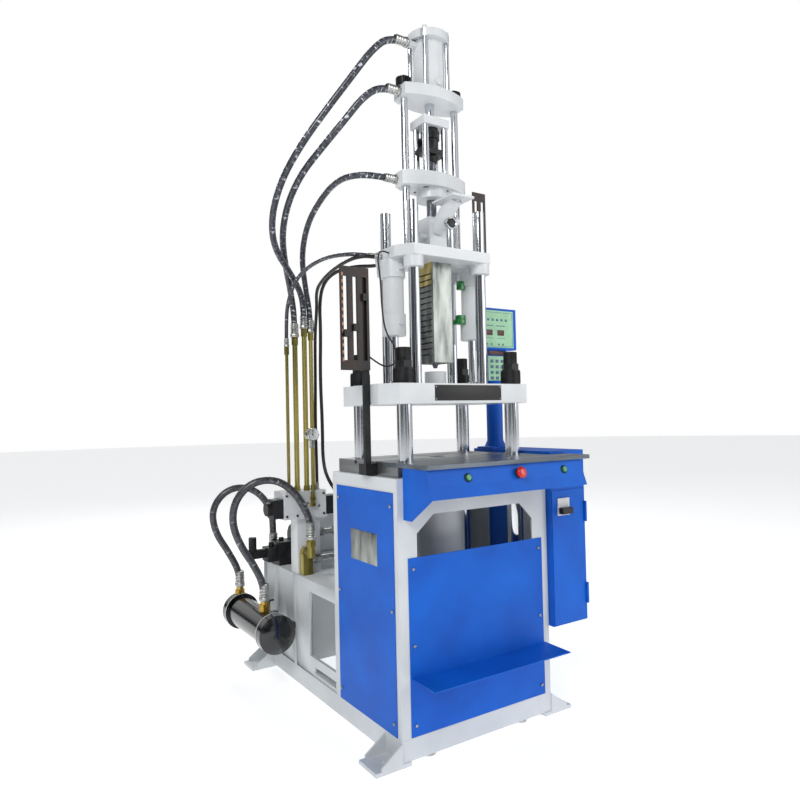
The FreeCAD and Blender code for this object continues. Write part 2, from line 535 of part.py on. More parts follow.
# ---------------------------------------------------------------- injection crosshead
cross_high = "(cross_low + cross_thick)"
node("crosshead", fuse(
    box("-60", "60", "mid - 48", "mid + 48", "cross_low", cross_high),
    *four("pillar_x", "pillar_y", lambda x, y: rod(x, y, f"{mid_high} - 3", "pillar_dia",
                                                   f"cross_low - ({mid_high}) + 4")),
    rod("0", "mid", f"{cross_high} - 1", "inj_rod_dia", "240"),
    rod("0", "mid", f"{cross_high} + 210", "89.9", "28")))
node("screw_motor", cut(
    fuse(rod("0", "mid", "cross_low - 86", "64", "86"), rod("0", "mid", "cross_low - 44", "74", "30"),
         box("-30", "30", "mid + 24", "mid + 56", "cross_low - 76", "cross_low - 30"),
         cut(box("-56", "56", "mid - 30", "mid + 30", "cross_low - 104", "cross_low - 84"),
             *four("pillar_x", "pillar_y", lambda x, y: rod(x, y, "cross_low - 120",
                                                            "pillar_dia + 1", "60")))),
    rod("0", "mid", "cross_low - 110", "32.1", "30")))
screw_low = "(nozzle_tip + 150)"
threads = []
for turn in range(10):
    threads.append(cone("0", "mid", f"{screw_low} + 20 + {turn * 34}", "26", "screw_dia", "7"))
    threads.append(rod("0", "mid", f"{screw_low} + 27 + {turn * 34}", "screw_dia", "5"))
node("screw", fuse(
    cone("0", "mid", screw_low, "8", "26", "20"), rod("0", "mid", f"{screw_low} + 19", "26", "345"),
    *threads, rod("0", "mid", f"{screw_low} + 360", "screw_dia", f"cross_low - 150 - ({screw_low}) - 360"),
    rod("0", "mid", "cross_low - 151", "screw_dia", "20"), rod("0", "mid", "cross_low - 132", "54", "20"),
    rod("0", "mid", "cross_low - 113", "32", "26")))

# ---------------------------------------------------------------- stroke racks
def rack(x0, x1, y0, y1, low, high, slot_count):
    """A flat slotted plate that carries the stroke switches."""
    windows = []
    for k in range(slot_count):
        share0, share1 = (k + 0.28) / slot_count, (k + 0.72) / slot_count
        windows.append(box(f"({x0}) + {share0} * (({x1}) - ({x0}))",
                           f"({x0}) + {share1} * (({x1}) - ({x0}))", f"{y0} - 1", f"{y1} + 1",
                           f"({low}) + 34", f"({high}) - 34"))
    return cut(box(x0, x1, y0, y1, low, high), *windows)


rack_left_edge = "rack_x - rack_width"
node("rack_left", rack(rack_left_edge, "rack_x", "mid - 88", "mid - 78", "rack_low", "rack_high", 3))
node("rack_post", fuse(
    box("rack_x - 20", "rack_x + 2", "mid - 78", "mid - 62", "cabinet_top + 4", "rack_high - 20"),
    box("rack_x - 20", "-platen_half", "mid - 78", "mid - 26", "cabinet_top + 4",
        "cabinet_top + 44"),
    *[box("rack_x - rack_width + 14", "rack_x", "mid - 78", "mid - 72", z, f"{z} + 16")
      for z in ("rack_low + 6", "rack_high - 26")]))
rack_spots = (("1", 0.5, 0.35), ("2", 1.5, 0.41), ("3", 2.5, 0.71))
for tag, column, share in rack_spots:
    centre = f"({rack_left_edge} + rack_width * {column / 3:.5f})"
    height = f"(rack_low + (rack_high - rack_low) * {share})"
    node(f"rack_slider_{tag}", fuse(
        box(f"{centre} - 11", f"{centre} + 11", "mid - 98", "mid - 88.3", f"{height} - 13",
            f"{height} + 13"),
        box(f"{centre} - 7", f"{centre} + 7", "mid - 89", "mid - 78.5", f"{height} - 5",
            f"{height} + 5")))
node("rack_right", fuse(
    rack("seat_half - 64", "seat_half", "mid - 62", "mid - 56", f"{seat_high} + 6",
         f"{seat_high} + 260", 2),
    box("seat_half - 64", "seat_half", "mid - 62", "mid - 30", seat_high, f"{seat_high} + 8")))

# ---------------------------------------------------------------- oil tank, motor and pump
tank = cut(
    box("-tank_half", "tank_half", "tank_front", "tank_rear", "beam_top", "tank_top"),
    box("14 - tank_half", "tank_half - 14", "tank_front + 14", "232", "beam_top - 1",
        "tank_top - 14"),
    box("8 - tank_half", "tank_half - 8", "240", "tank_rear - 8", "beam_top + 8", "tank_top - 10"),
    box("-tank_half - 1", "16 - tank_half", "tank_front + 15", "105", "beam_top + 75",
        "tank_top - 48"),
    box("-tank_half - 1", "16 - tank_half", "tank_front + 15", "60", "beam_top + 14",
        "beam_top + 40"),
    box("tank_half - 16", "tank_half + 1", "tank_front + 15", "105", "beam_top + 75",
        "tank_top - 48"),
    box("-210", "210", "tank_front + 40", "180", "tank_top - 15", "tank_top + 1"))
ribs = [box(f"-tank_half - {d}", "1 - tank_half", y, f"{y} + {w}", "beam_top", "tank_top - 4")
        for y, w, d in (("232", 22, 6), ("430", 14, 6), ("580", 20, 6))]
node("oil_tank", fuse(tank, *ribs))
node("drive_motor", fuse(
    rod("-170", "477", "tank_top + 118", "190", "290", "x"),
    rod("120", "477", "tank_top + 118", "176", "40", "x"),
    rod("-190", "477", "tank_top + 118", "150", "22", "x"),
    box("-60", "60", "420", "534", "tank_top + 190", "tank_top + 246"),
    box("-120", "-60", "397", "557", "tank_top", "tank_top + 40"),
    box("40", "100", "397", "557", "tank_top", "tank_top + 40")))
node("oil_pump", fuse(
    rod("-245", "477", "tank_top + 118", "120", "55", "x"),
    box("-330", "-240", "430", "524", "tank_top", "tank_top + 106"),
    rod("-330", "477", "tank_top + 62", "62", "86", "x"),
    rod("-462", "477", "tank_top + 58", "44", "140", "x"),
    box("-380", "-330", "440", "514", "tank_top + 20", "tank_top + 84"),
    rod("-440", "477", "tank_top + 62", "36", "74"),
    rod("-350", "477", "tank_top + 82", "24", "22"), rod("-300", "477", "tank_top + 104", "24", "18")))
node("manifold", fuse(
    cut(box("manifold_left", "manifold_right", "manifold_front", "manifold_front + 112",
            "manifold_low", "manifold_high"),
        rod("-290", "manifold_front - 1", "780", "14", "20", "y"),
        rod("-290", "manifold_front - 1", "745", "14", "20", "y"),
        rod("-235", "manifold_front - 1", "765", "14", "20", "y")),
    box("-330", "manifold_right - 20", "manifold_front + 26", "manifold_front + 96", "tank_top",
        "manifold_low + 1")))
node("solenoid_valves", fuse(
    box("-446", "manifold_left", "manifold_front + 6", "manifold_front + 76", "725", "806"),
    rod("-468", "manifold_front + 40", "766", "58", "24", "x"),
    box("manifold_right", "-136", "manifold_front + 6", "manifold_front + 76", "725", "806"),
    rod("-137", "manifold_front + 40", "766", "58", "24", "x")))

# risers: four rigid steel lines from the manifold to the hose fittings
pipe_y = "(manifold_front + 22)"
RISERS = ((-367, 14, 1462), (-328, 22, 1506), (-283, 22, 1545), (-252, 18, 1530))
risers, nuts = [], []
for x, dia, top in RISERS:
    risers.append(rod(x, pipe_y, "manifold_high", dia, f"{top} - manifold_high"))
    nuts.append(hexagon(x, pipe_y, "manifold_high", dia + 8, "22"))
    nuts.append(hexagon(x, pipe_y, top - 34, dia + 9, "34"))
node("riser_pipes", group(*[
    cut(pipe, rod(x, pipe_y, "manifold_high - 1", dia - 5, top)) for pipe, (x, dia, top)
    in zip(risers, RISERS)]))
node("pipe_fittings", group(*[
    cut(nut, rod(RISERS[k // 2][0], pipe_y, "manifold_high - 1", RISERS[k // 2][1], "900"))
    for k, nut in enumerate(nuts)],
    # return port on the tank, brass stack and elbow beside the manifold
    rod("-312", "545", "tank_top", "42", "62"),
    fuse(rod("-272", "manifold_front - 14", "manifold_high - 62", "18", "60"),
         hexagon("-272", "manifold_front - 14", "manifold_high - 40", "28", "14"),
         hexagon("-272", "manifold_front - 14", "manifold_high - 66", "28", "14"),
         rod("-272", "manifold_front - 14", "manifold_high - 58", "16", "14", "y")),
    fuse(rod("-300", "150", "556", "34", "78"), rod("-300", "150", "573", "34", "70", "y"),
         hexagon("-300", "150", "604", "46", "22"), hexagon("-300", "190", "573", "46", "26", "y"),
         box("-322", "-278", "182", "222", "tank_top", "566"),
         rod("-279", "202", "536", "28", "180", "x"), hexagon("-262", "202", "536", "40", "28", "x"),
         hexagon("-150", "202", "536", "40", "28", "x"),
         box("-100", "-60", "184", "222", "tank_top", "560")),
    fuse(rod("manifold_right - 20", "258", "640", "24", "124", "x"),
         hexagon("-214", "258", "640", "38", "26", "x"),
         hexagon("-140", "258", "640", "38", "26", "x"),
         box("-100", "-60", "238", "278", "tank_top", "662"))))

# pressure gauge on its own thin line
gauge_x, gauge_y, gauge_z = "-272", "(manifold_front - 14)", "1080"
node("pressure_gauge", fuse(
    rod(gauge_x, gauge_y, "manifold_high - 2", "9", "1050 - manifold_high"),
    hexagon(gauge_x, gauge_y, "1022", "24", "36"),
    cut(rod(gauge_x, f"{gauge_y} - 16", gauge_z, "56", "32", "y"),
        rod(gauge_x, f"{gauge_y} - 17", gauge_z, "48", "9", "y")),
    rod(gauge_x, f"{gauge_y} - 11", gauge_z, "2.9", "5", "y")))
node("gauge_needle", cut(
    fuse(box(f"{gauge_x} - 1", f"{gauge_x} + 1", f"{gauge_y} - 12.6", f"{gauge_y} - 11.6",
             f"{gauge_z} - 6", f"{gauge_z} + 19"),
         rod(gauge_x, f"{gauge_y} - 12.8", gauge_z, "7", "1.6", "y")),
    rod(gauge_x, f"{gauge_y} - 20", gauge_z, "3", "20", "y")))

# ---------------------------------------------------------------- oil cooler
shell_len = "cooler_rear - cooler_front - 120"
stubs = []
for y in ("302", "612"):
    stubs += [rod("cooler_x", y, "cooler_z + 40", "40", "36"),
              hexagon("cooler_x", y, "cooler_z + 66", "48", "30"),
              rod("cooler_x", y, "cooler_z + 90", "34", "20")]
node("oil_cooler", fuse(
    rod("cooler_x", "cooler_front + 40", "cooler_z", "cooler_dia", f"{shell_len} + 40", "y"),
    rod("cooler_x", "cooler_front + 18", "cooler_z", "dome_dia", "44", "y"),
    cone("cooler_x", "cooler_front", "cooler_z", "dome_dia - 60", "dome_dia", "18", "y"),
    rod("cooler_x", "cooler_rear - 62", "cooler_z", "dome_dia", "44", "y"),
    cone("cooler_x", "cooler_rear - 18", "cooler_z", "dome_dia", "dome_dia - 60", "18", "y"),
    *stubs,
    rod("cooler_x + 30", "330", "cooler_z + 50", "14", "58"),
    rod("cooler_x + 10", "330", "cooler_z + 99", "8", "44", "x"),
    *[box("cooler_x + 20", "-tank_half - 6", y, f"{y} + 30", "cooler_z - 14", "cooler_z + 14")
      for y in ("236", "432")]))


# ---------------------------------------------------------------- hoses and cable loom
def hose(name, dia, points):
    """Straight runs joined by tangent arcs, swept with a round section."""
    pts = [FreeCAD.Vector(*p) for p in points]
    edges, start, radii = [], pts[0], []
    for before, corner, after in zip(pts, pts[1:], pts[2:]):
        a, b = (corner - before), (after - corner)
        half = a.getAngle(b) / 2
        reach = 0.45 * min(a.Length, b.Length)
        radius = reach / math.tan(half)
        radii.append(radius / dia)
        u, w = FreeCAD.Vector(a).normalize(), FreeCAD.Vector(b).normalize()
        enter, leave = corner - u * reach, corner + w * reach
        bisector = (w - u).normalize()
        middle = corner + bisector * (radius / math.cos(half) - radius)
        edges += [Part.LineSegment(start, enter).toShape(), Part.Arc(enter, middle, leave).toShape()]
        start = leave
    edges.append(Part.LineSegment(start, pts[-1]).toShape())
    path = Part.Wire(edges)
    ring = Part.Wire([Part.Circle(pts[0], (pts[1] - pts[0]).normalize(), dia / 2).toShape()])
    tube = path.makePipeShell([ring], True, False)
    ideal = math.pi * dia * dia / 4 * path.Length
    print(f"{name}: length {path.Length:.0f} mm, bend radii in diameters "
          f"{[round(r, 1) for r in radii]}, volume over section x length {tube.Volume / ideal:.4f}")
    feature = doc.addObject("Part::Feature", name)
    feature.Shape = tube
    node(name, feature)


top_y, riser_y = value_of("mid"), value_of(pipe_y)
hose("hose_press_top", 26, [
    (-97, top_y, 2590), (-178, top_y, 2590), (-246, -352, 2532), (-326, -304, 2410),
    (-398, -250, 2300), (-470, -185, 2180), (-520, -110, 2060), (-526, -20, 1940),
    (-484, 55, 1840), (-384, 115, 1755), (-310, 180, 1690), (-283, riser_y, 1615),
    (-283, riser_y, 1545)])
hose("hose_press_low", 26, [
    (-139, top_y, 2390), (-218, top_y, 2390), (-284, -346, 2346), (-340, -296, 2262),
    (-402, -230, 2170), (-454, -150, 2085), (-474, -60, 1990), (-456, 40, 1896),
    (-406, 130, 1808), (-352, 200, 1704), (-328, riser_y, 1600), (-328, riser_y, 1506)])
hose("hose_screw_in", 24, [
    (-150, -350, 2054), (-236, -350, 2054), (-302, -306, 2060), (-330, -220, 2062),
    (-336, -110, 2040), (-344, 30, 1965), (-330, 130, 1850), (-285, 196, 1730),
    (-252, riser_y, 1615), (-252, riser_y, 1530)])
hose("hose_seat_up", 16, [
    (-222, -315, 1758), (-284, -315, 1758), (-328, -284, 1762), (-350, -220, 1768),
    (-360, -130, 1773), (-368, -20, 1764), (-384, 80, 1725), (-380, 175, 1640),
    (-367, riser_y, 1540), (-367, riser_y, 1462)])
hose("hose_seat_down", 14, [
    (-222, -345, 1748), (-276, -345, 1748), (-312, -318, 1745), (-326, -262, 1740),
    (-324, -160, 1732), (-314, -50, 1718), (-288, 80, 1694), (-238, 178, 1635),
    (-222, 236, 1530), (-219, 246, 1330), (-225, 242, 1130), (-221, 246, 960), (-222, 243, 885),
    (-222, 243, 835)])
hose("hose_cooler_rear", 32, [
    (-455, 612, 365), (-455, 612, 430), (-505, 620, 530), (-566, 626, 630), (-582, 620, 735),
    (-528, 602, 818), (-438, 578, 840), (-358, 558, 790), (-314, 547, 700), (-312, 545, 610),
    (-312, 545, 537)])
hose("hose_cooler_front", 32, [
    (-455, 302, 365), (-455, 302, 428), (-500, 296, 522), (-562, 288, 615), (-602, 278, 715),
    (-594, 258, 815), (-532, 232, 886), (-440, 203, 898), (-362, 175, 842), (-314, 156, 750),
    (-300, 150, 690), (-300, 150, 634)])
hose("cable_loom", 15, [
    (-150, -233, 1755), (-150, -185, 1755), (-195, -90, 1770), (-232, 20, 1764), (-242, 112, 1726),
    (-222, 185, 1650), (-204, 214, 1540), (-210, 216, 1330), (-204, 214, 1120), (-208, 210, 940),
    (-200, 150, 855), (-190, 40, 800), (-184, -80, 768), (-184, -142, 768)])

# ---------------------------------------------------------------- check and write
doc.recompute()
for obj in doc.Objects:
    if "Invalid" in obj.State or "Error" in obj.State:
        raise SystemExit(f"{obj.Label}: {obj.State}")
os.makedirs("parts", exist_ok=True)
for name, obj in NODES:
    shape = obj.Shape
    if shape.isNull() or not shape.isValid() or not shape.Solids:
        raise SystemExit(f"{name}: bad shape")
    shape.exportStep(f"parts/{name}.step")
print(f"{len(NODES)} nodes written")
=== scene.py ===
# %% [markdown]
# # An upright injection moulding machine
# A press of this kind has a guarded steel base, a table, a platen that rises on four chromed
# bars, an injection unit above it and an oil tank behind. The solid model already gives every
# piece its place. This lesson gives each piece its finish, softens its edges, and adds the
# small things that make a machine look real: screws, ferrules, dials and keys.

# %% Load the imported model
import json
import math
import bmesh
import bpy
from mathutils import Matrix, Vector

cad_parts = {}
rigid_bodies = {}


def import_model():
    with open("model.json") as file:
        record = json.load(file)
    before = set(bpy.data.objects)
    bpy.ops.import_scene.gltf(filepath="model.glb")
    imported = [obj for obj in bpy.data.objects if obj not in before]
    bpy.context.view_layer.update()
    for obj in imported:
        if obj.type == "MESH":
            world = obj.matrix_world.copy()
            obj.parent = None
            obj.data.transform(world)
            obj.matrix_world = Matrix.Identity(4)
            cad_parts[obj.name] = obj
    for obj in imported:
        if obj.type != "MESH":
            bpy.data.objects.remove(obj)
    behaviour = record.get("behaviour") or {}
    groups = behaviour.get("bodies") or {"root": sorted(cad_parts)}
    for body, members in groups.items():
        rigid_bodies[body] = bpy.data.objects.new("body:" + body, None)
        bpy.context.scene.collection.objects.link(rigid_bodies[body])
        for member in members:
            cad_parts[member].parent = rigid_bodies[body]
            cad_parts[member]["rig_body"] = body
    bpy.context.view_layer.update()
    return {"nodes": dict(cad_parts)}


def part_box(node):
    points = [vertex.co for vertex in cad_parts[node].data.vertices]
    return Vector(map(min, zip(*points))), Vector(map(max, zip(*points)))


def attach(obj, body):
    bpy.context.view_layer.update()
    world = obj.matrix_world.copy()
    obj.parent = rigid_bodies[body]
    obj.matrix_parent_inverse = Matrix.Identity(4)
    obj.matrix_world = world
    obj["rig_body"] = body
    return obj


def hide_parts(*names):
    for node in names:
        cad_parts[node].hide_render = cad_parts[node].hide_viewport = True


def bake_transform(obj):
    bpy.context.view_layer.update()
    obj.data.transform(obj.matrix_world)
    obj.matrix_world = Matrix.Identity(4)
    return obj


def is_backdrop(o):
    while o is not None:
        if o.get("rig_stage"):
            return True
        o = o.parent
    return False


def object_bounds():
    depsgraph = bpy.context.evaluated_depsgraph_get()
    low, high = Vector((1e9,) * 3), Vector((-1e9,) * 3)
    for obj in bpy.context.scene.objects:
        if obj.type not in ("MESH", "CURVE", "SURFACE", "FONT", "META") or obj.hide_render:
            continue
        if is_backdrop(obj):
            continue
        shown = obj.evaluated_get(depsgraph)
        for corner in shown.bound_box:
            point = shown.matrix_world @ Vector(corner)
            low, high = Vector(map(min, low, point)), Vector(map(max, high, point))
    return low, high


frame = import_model()
scene = bpy.context.scene
press_y = -.368                             # the upright axis of the clamp and the barrel
bar_xs, bar_ys = (-.249, .249), (-.522, -.214)
upright_xs = (-.120, .120)
cooler_x, cooler_z = -.455, .255            # the cooler lies along Y
stub_ys = (.302, .612)

# %% [markdown]
# The camera comes first, so that every later choice can be judged through it. It stands at
# chest height a little to the left, with a moderately wide lens, and leans by about one degree.
# The three directions of the camera are worked out from its heading, pitch and roll.

# %% Camera
eye = Vector((-1.517, -2.4527, 1.150))
heading, pitch, roll = (math.radians(a) for a in (-32.93, 1.42, 1.25))
right = Vector((math.cos(heading), math.sin(heading), 0))
ahead = Vector((-math.sin(heading) * math.cos(pitch), math.cos(heading) * math.cos(pitch),
                math.sin(pitch)))
above = right.cross(ahead)
across = right * math.cos(roll) - above * math.sin(roll)
upward = right * math.sin(roll) + above * math.cos(roll)
camera = bpy.data.objects.new("camera", bpy.data.cameras.new("camera"))
camera.data.lens, camera.data.sensor_width = 29.81, 36
camera.data.clip_start, camera.data.clip_end = 0.05, 200
turn = Matrix((across, upward, -ahead)).transposed().to_4x4()
camera.matrix_world = Matrix.Translation(eye) @ turn
scene.collection.objects.link(camera)
scene.camera = camera
print("camera at", tuple(round(c, 3) for c in eye))

# %% [markdown]
# A studio is a pale floor, a few large soft lamps, and surroundings that polished steel can
# mirror. Chrome has no colour of its own, so the world that the steel sees has soft light and
# dark patches, while the view behind the machine stays plain white.

# %% Floor, lamps and surroundings
def channel(value):
    value /= 255
    return value / 12.92 if value <= 0.04045 else ((value + 0.055) / 1.055) ** 2.4


def tint(red, green, blue):
    return channel(red), channel(green), channel(blue), 1


def set_stops(node, *stops):
    """Give the first stops of a colour ramp a position and a colour each."""
    for stop, (position, colour) in zip(node.color_ramp.elements, stops):
        stop.position, stop.color = position, colour


floor_mesh = bmesh.new()
bmesh.ops.create_circle(floor_mesh, cap_ends=True, segments=64, radius=30,
                        matrix=Matrix.Translation((0, 0, -0.0005)))
floor_data = bpy.data.meshes.new("floor")
floor_mesh.to_mesh(floor_data)
floor_mesh.free()
floor = bpy.data.objects.new("floor", floor_data)
scene.collection.objects.link(floor)
floor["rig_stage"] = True
floor_paint = bpy.data.materials.new("pale floor")
floor_paint.use_nodes = True
floor_shader = floor_paint.node_tree.nodes["Principled BSDF"]
floor_shader.inputs["Base Color"].default_value = tint(247, 248, 249)
floor_shader.inputs["Roughness"].default_value = 0.75
floor_shader.inputs["Emission Color"].default_value = (1, 1, 1, 1)
floor_shader.inputs["Emission Strength"].default_value = 0.5
floor_data.materials.append(floor_paint)


def softbox(name, place, aim, size, power):
    lamp = bpy.data.lights.new(name, "AREA")
    lamp.shape, lamp.size, lamp.energy = "DISK", size, power
    holder = bpy.data.objects.new(name, lamp)
    facing = (Vector(place) - Vector(aim)).to_track_quat("Z", "Y").to_matrix().to_4x4()
    holder.matrix_world = Matrix.Translation(place) @ facing
    scene.collection.objects.link(holder)


softbox("key", (-4.2, -3.6, 4.4), (0, -0.2, 1.1), 2.2, 150)
softbox("fill", (3.2, -4.8, 2.6), (0, -0.2, 1.2), 3.0, 60)
softbox("rim", (1.5, 4.4, 4.6), (0, 0, 1.3), 2.8, 90)

world = bpy.data.worlds.new("studio")
scene.world = world
world.use_nodes = True
web = world.node_tree
web.nodes.clear()
out = web.nodes.new("ShaderNodeOutputWorld")
choose = web.nodes.new("ShaderNodeMixShader")
rays = web.nodes.new("ShaderNodeLightPath")
plain = web.nodes.new("ShaderNodeBackground")
plain.inputs["Color"].default_value = (1, 1, 1, 1)
room = web.nodes.new("ShaderNodeBackground")
spots = web.nodes.new("ShaderNodeTexNoise")
spots.inputs["Scale"].default_value, spots.inputs["Detail"].default_value = 1.7, 1
shades = web.nodes.new("ShaderNodeValToRGB")
set_stops(shades, (0.42, (.10, .11, .13, 1)), (0.56, (1.25, 1.25, 1.25, 1)))
where = web.nodes.new("ShaderNodeTexCoord")
web.links.new(where.outputs["Generated"], spots.inputs["Vector"])
web.links.new(spots.outputs["Fac"], shades.inputs["Fac"])
web.links.new(shades.outputs["Color"], room.inputs["Color"])
web.links.new(rays.outputs["Is Camera Ray"], choose.inputs["Fac"])
web.links.new(room.outputs["Background"], choose.inputs[1])
web.links.new(plain.outputs["Background"], choose.inputs[2])
web.links.new(choose.outputs["Shader"], out.inputs["Surface"])
room.inputs["Strength"].default_value = 0.62
scene.view_settings.view_transform = "Standard"

# %% [markdown]
# A finish is a colour that wanders a little, a gloss that wanders with it, and a fine grain
# that tips the surface. One helper builds that graph from a slow cloud and a fine grain of
# noise. Stretching the cloud along an axis turns it into brushing or drawing marks. The
# pattern reads Object coordinates, which are metres here, so its scale is a real one.

# %% One helper for every finish
finishes = {}


def finish(name, dark, light, size=7, stretch=(1, 1, 1), gloss=(0.3, 0.42), metal=0.0,
           grain=260, bite=0.06, coat=0.0, limits=(0.32, 0.68)):
    paint = bpy.data.materials.new(name)
    paint.use_nodes = True
    nodes, links = paint.node_tree.nodes, paint.node_tree.links
    shader = nodes["Principled BSDF"]
    shader.inputs["Metallic"].default_value = metal
    shader.inputs["Coat Weight"].default_value = coat
    shader.inputs["Coat Roughness"].default_value = 0.12
    spot = nodes.new("ShaderNodeTexCoord")
    reach = nodes.new("ShaderNodeMapping")
    reach.inputs["Scale"].default_value = stretch
    cloud = nodes.new("ShaderNodeTexNoise")
    cloud.inputs["Scale"].default_value = size
    cloud.inputs["Detail"].default_value = 5
    shade = nodes.new("ShaderNodeValToRGB")
    set_stops(shade, (limits[0], tint(*dark)), (limits[1], tint(*light)))
    shine = nodes.new("ShaderNodeMapRange")
    shine.inputs["To Min"].default_value, shine.inputs["To Max"].default_value = gloss
    fine = nodes.new("ShaderNodeTexNoise")
    fine.inputs["Scale"].default_value = grain
    bump = nodes.new("ShaderNodeBump")
    bump.inputs["Strength"].default_value = bite
    bump.inputs["Distance"].default_value = 0.002
    for a, b in ((spot.outputs["Object"], reach.inputs["Vector"]),
                 (reach.outputs["Vector"], cloud.inputs["Vector"]),
                 (reach.outputs["Vector"], fine.inputs["Vector"]),
                 (cloud.outputs["Fac"], shade.inputs["Fac"]),
                 (shade.outputs["Color"], shader.inputs["Base Color"]),
                 (cloud.outputs["Fac"], shine.inputs["Value"]),
                 (shine.outputs["Result"], shader.inputs["Roughness"]),
                 (fine.outputs["Fac"], bump.inputs["Height"]),
                 (bump.outputs["Normal"], shader.inputs["Normal"])):
        links.new(a, b)
    finishes[name] = paint
    return paint


# %% [markdown]
# Paints first. The base, plates and cylinders are white enamel with a faint orange peel. The
# panels are a strong blue powder coat, which is duller and grainier. Black parts differ among
# themselves: blackened steel is oily, moulded plastic is even, and the cooler is glossy.

# %% Paints and plastics
white = finish("white enamel", (204, 208, 210), (220, 223, 225), 5, gloss=(.30, .42), coat=.15,
               grain=210, bite=.05)
shell_white = finish("grey white enamel", (196, 201, 204), (214, 218, 220), 4, gloss=(.34, .48),
                     grain=210, bite=.06)
blue = finish("blue powder coat", (3, 84, 186), (7, 98, 205), 6, gloss=(.42, .56), grain=620,
              bite=.10)
blue.node_tree.nodes["Principled BSDF"].inputs["Specular IOR Level"].default_value = 0.25
black_oxide = finish("blackened steel", (13, 13, 14), (40, 41, 43), 38, gloss=(.3, .52), metal=.35,
                     grain=420, bite=.12)
black_plastic = finish("black plastic", (13, 13, 14), (24, 24, 26), 30, gloss=(.38, .5), grain=700,
                       bite=.12)
cooler_black = finish("gloss black enamel", (5, 6, 7), (13, 15, 16), 9, gloss=(.12, .24), coat=.6,
                      grain=180, bite=.04)
laminate = finish("brown slotted laminate", (14, 9, 7), (46, 28, 20), 22, (1, 1, .12),
                  gloss=(.32, .5), grain=500, bite=.15)
red_plastic = finish("red plastic", (190, 22, 16), (214, 34, 24), 40, gloss=(.16, .26), coat=.4)
green_plastic = finish("green plastic", (4, 108, 44), (10, 138, 60), 40, gloss=(.16, .26), coat=.4)
film_green = finish("pale green film", (146, 200, 158), (166, 216, 176), 24, gloss=(.3, .4),
                    grain=500, bite=.04)
key_blue = finish("grey blue keys", (60, 92, 122), (84, 118, 148), 60, gloss=(.3, .4))
lit_red = finish("dark red window", (44, 8, 5), (92, 16, 9), 160, gloss=(.3, .4))
white_plastic = finish("white plastic", (214, 216, 216), (230, 231, 231), 30, gloss=(.24, .34))
print("finishes so far:", len(finishes))

# %% [markdown]
# Then metals. Chromed bars are nearly a mirror with faint drawing marks along them. The fixed
# platen is ground, the table is duller and darker, and small fittings are zinc plated. The
# riser pipes have a yellow passivated coat that turns greenish in patches.

# %% Metals
chrome = finish("hard chrome", (196, 200, 205), (226, 229, 233), 30, (1, 1, .04), gloss=(.07, .16),
                metal=1, grain=700, bite=.015)
ground_steel = finish("ground steel", (112, 113, 114), (158, 161, 163), 26, (1, .08, 1),
                      gloss=(.24, .42), metal=.9, grain=520, bite=.06)
table_steel = finish("dull table plate", (84, 90, 97), (128, 136, 145), 20, (.12, 1, 1),
                     gloss=(.22, .44), metal=.8, grain=420, bite=.08)
zinc = finish("zinc plate", (150, 151, 149), (198, 199, 196), 60, gloss=(.22, .4), metal=.95,
              grain=600, bite=.05)
yellow_pipe = finish("yellow passivated pipe", (112, 101, 46), (186, 173, 98), 16, (1, 1, .10),
                     gloss=(.24, .4), metal=.85, grain=420, bite=.05)
brass = finish("brass", (150, 116, 40), (206, 172, 84), 60, gloss=(.2, .34), metal=.95, grain=600,
               bite=.05)
bright_sheet = finish("bright folded sheet", (96, 100, 98), (172, 176, 171), 26, (1, 1, .22),
                      gloss=(.2, .4), metal=.75, grain=34, bite=.9)
tool_steel = finish("nitrided steel", (96, 98, 102), (142, 145, 150), 40, gloss=(.25, .4), metal=.9,
                    grain=420, bite=.05)
amber_mica = finish("amber mica", (150, 124, 44), (214, 200, 130), 40, (1, 1, .3), gloss=(.18, .34),
                    grain=300, bite=.1, coat=.3)
print("finishes:", len(finishes))
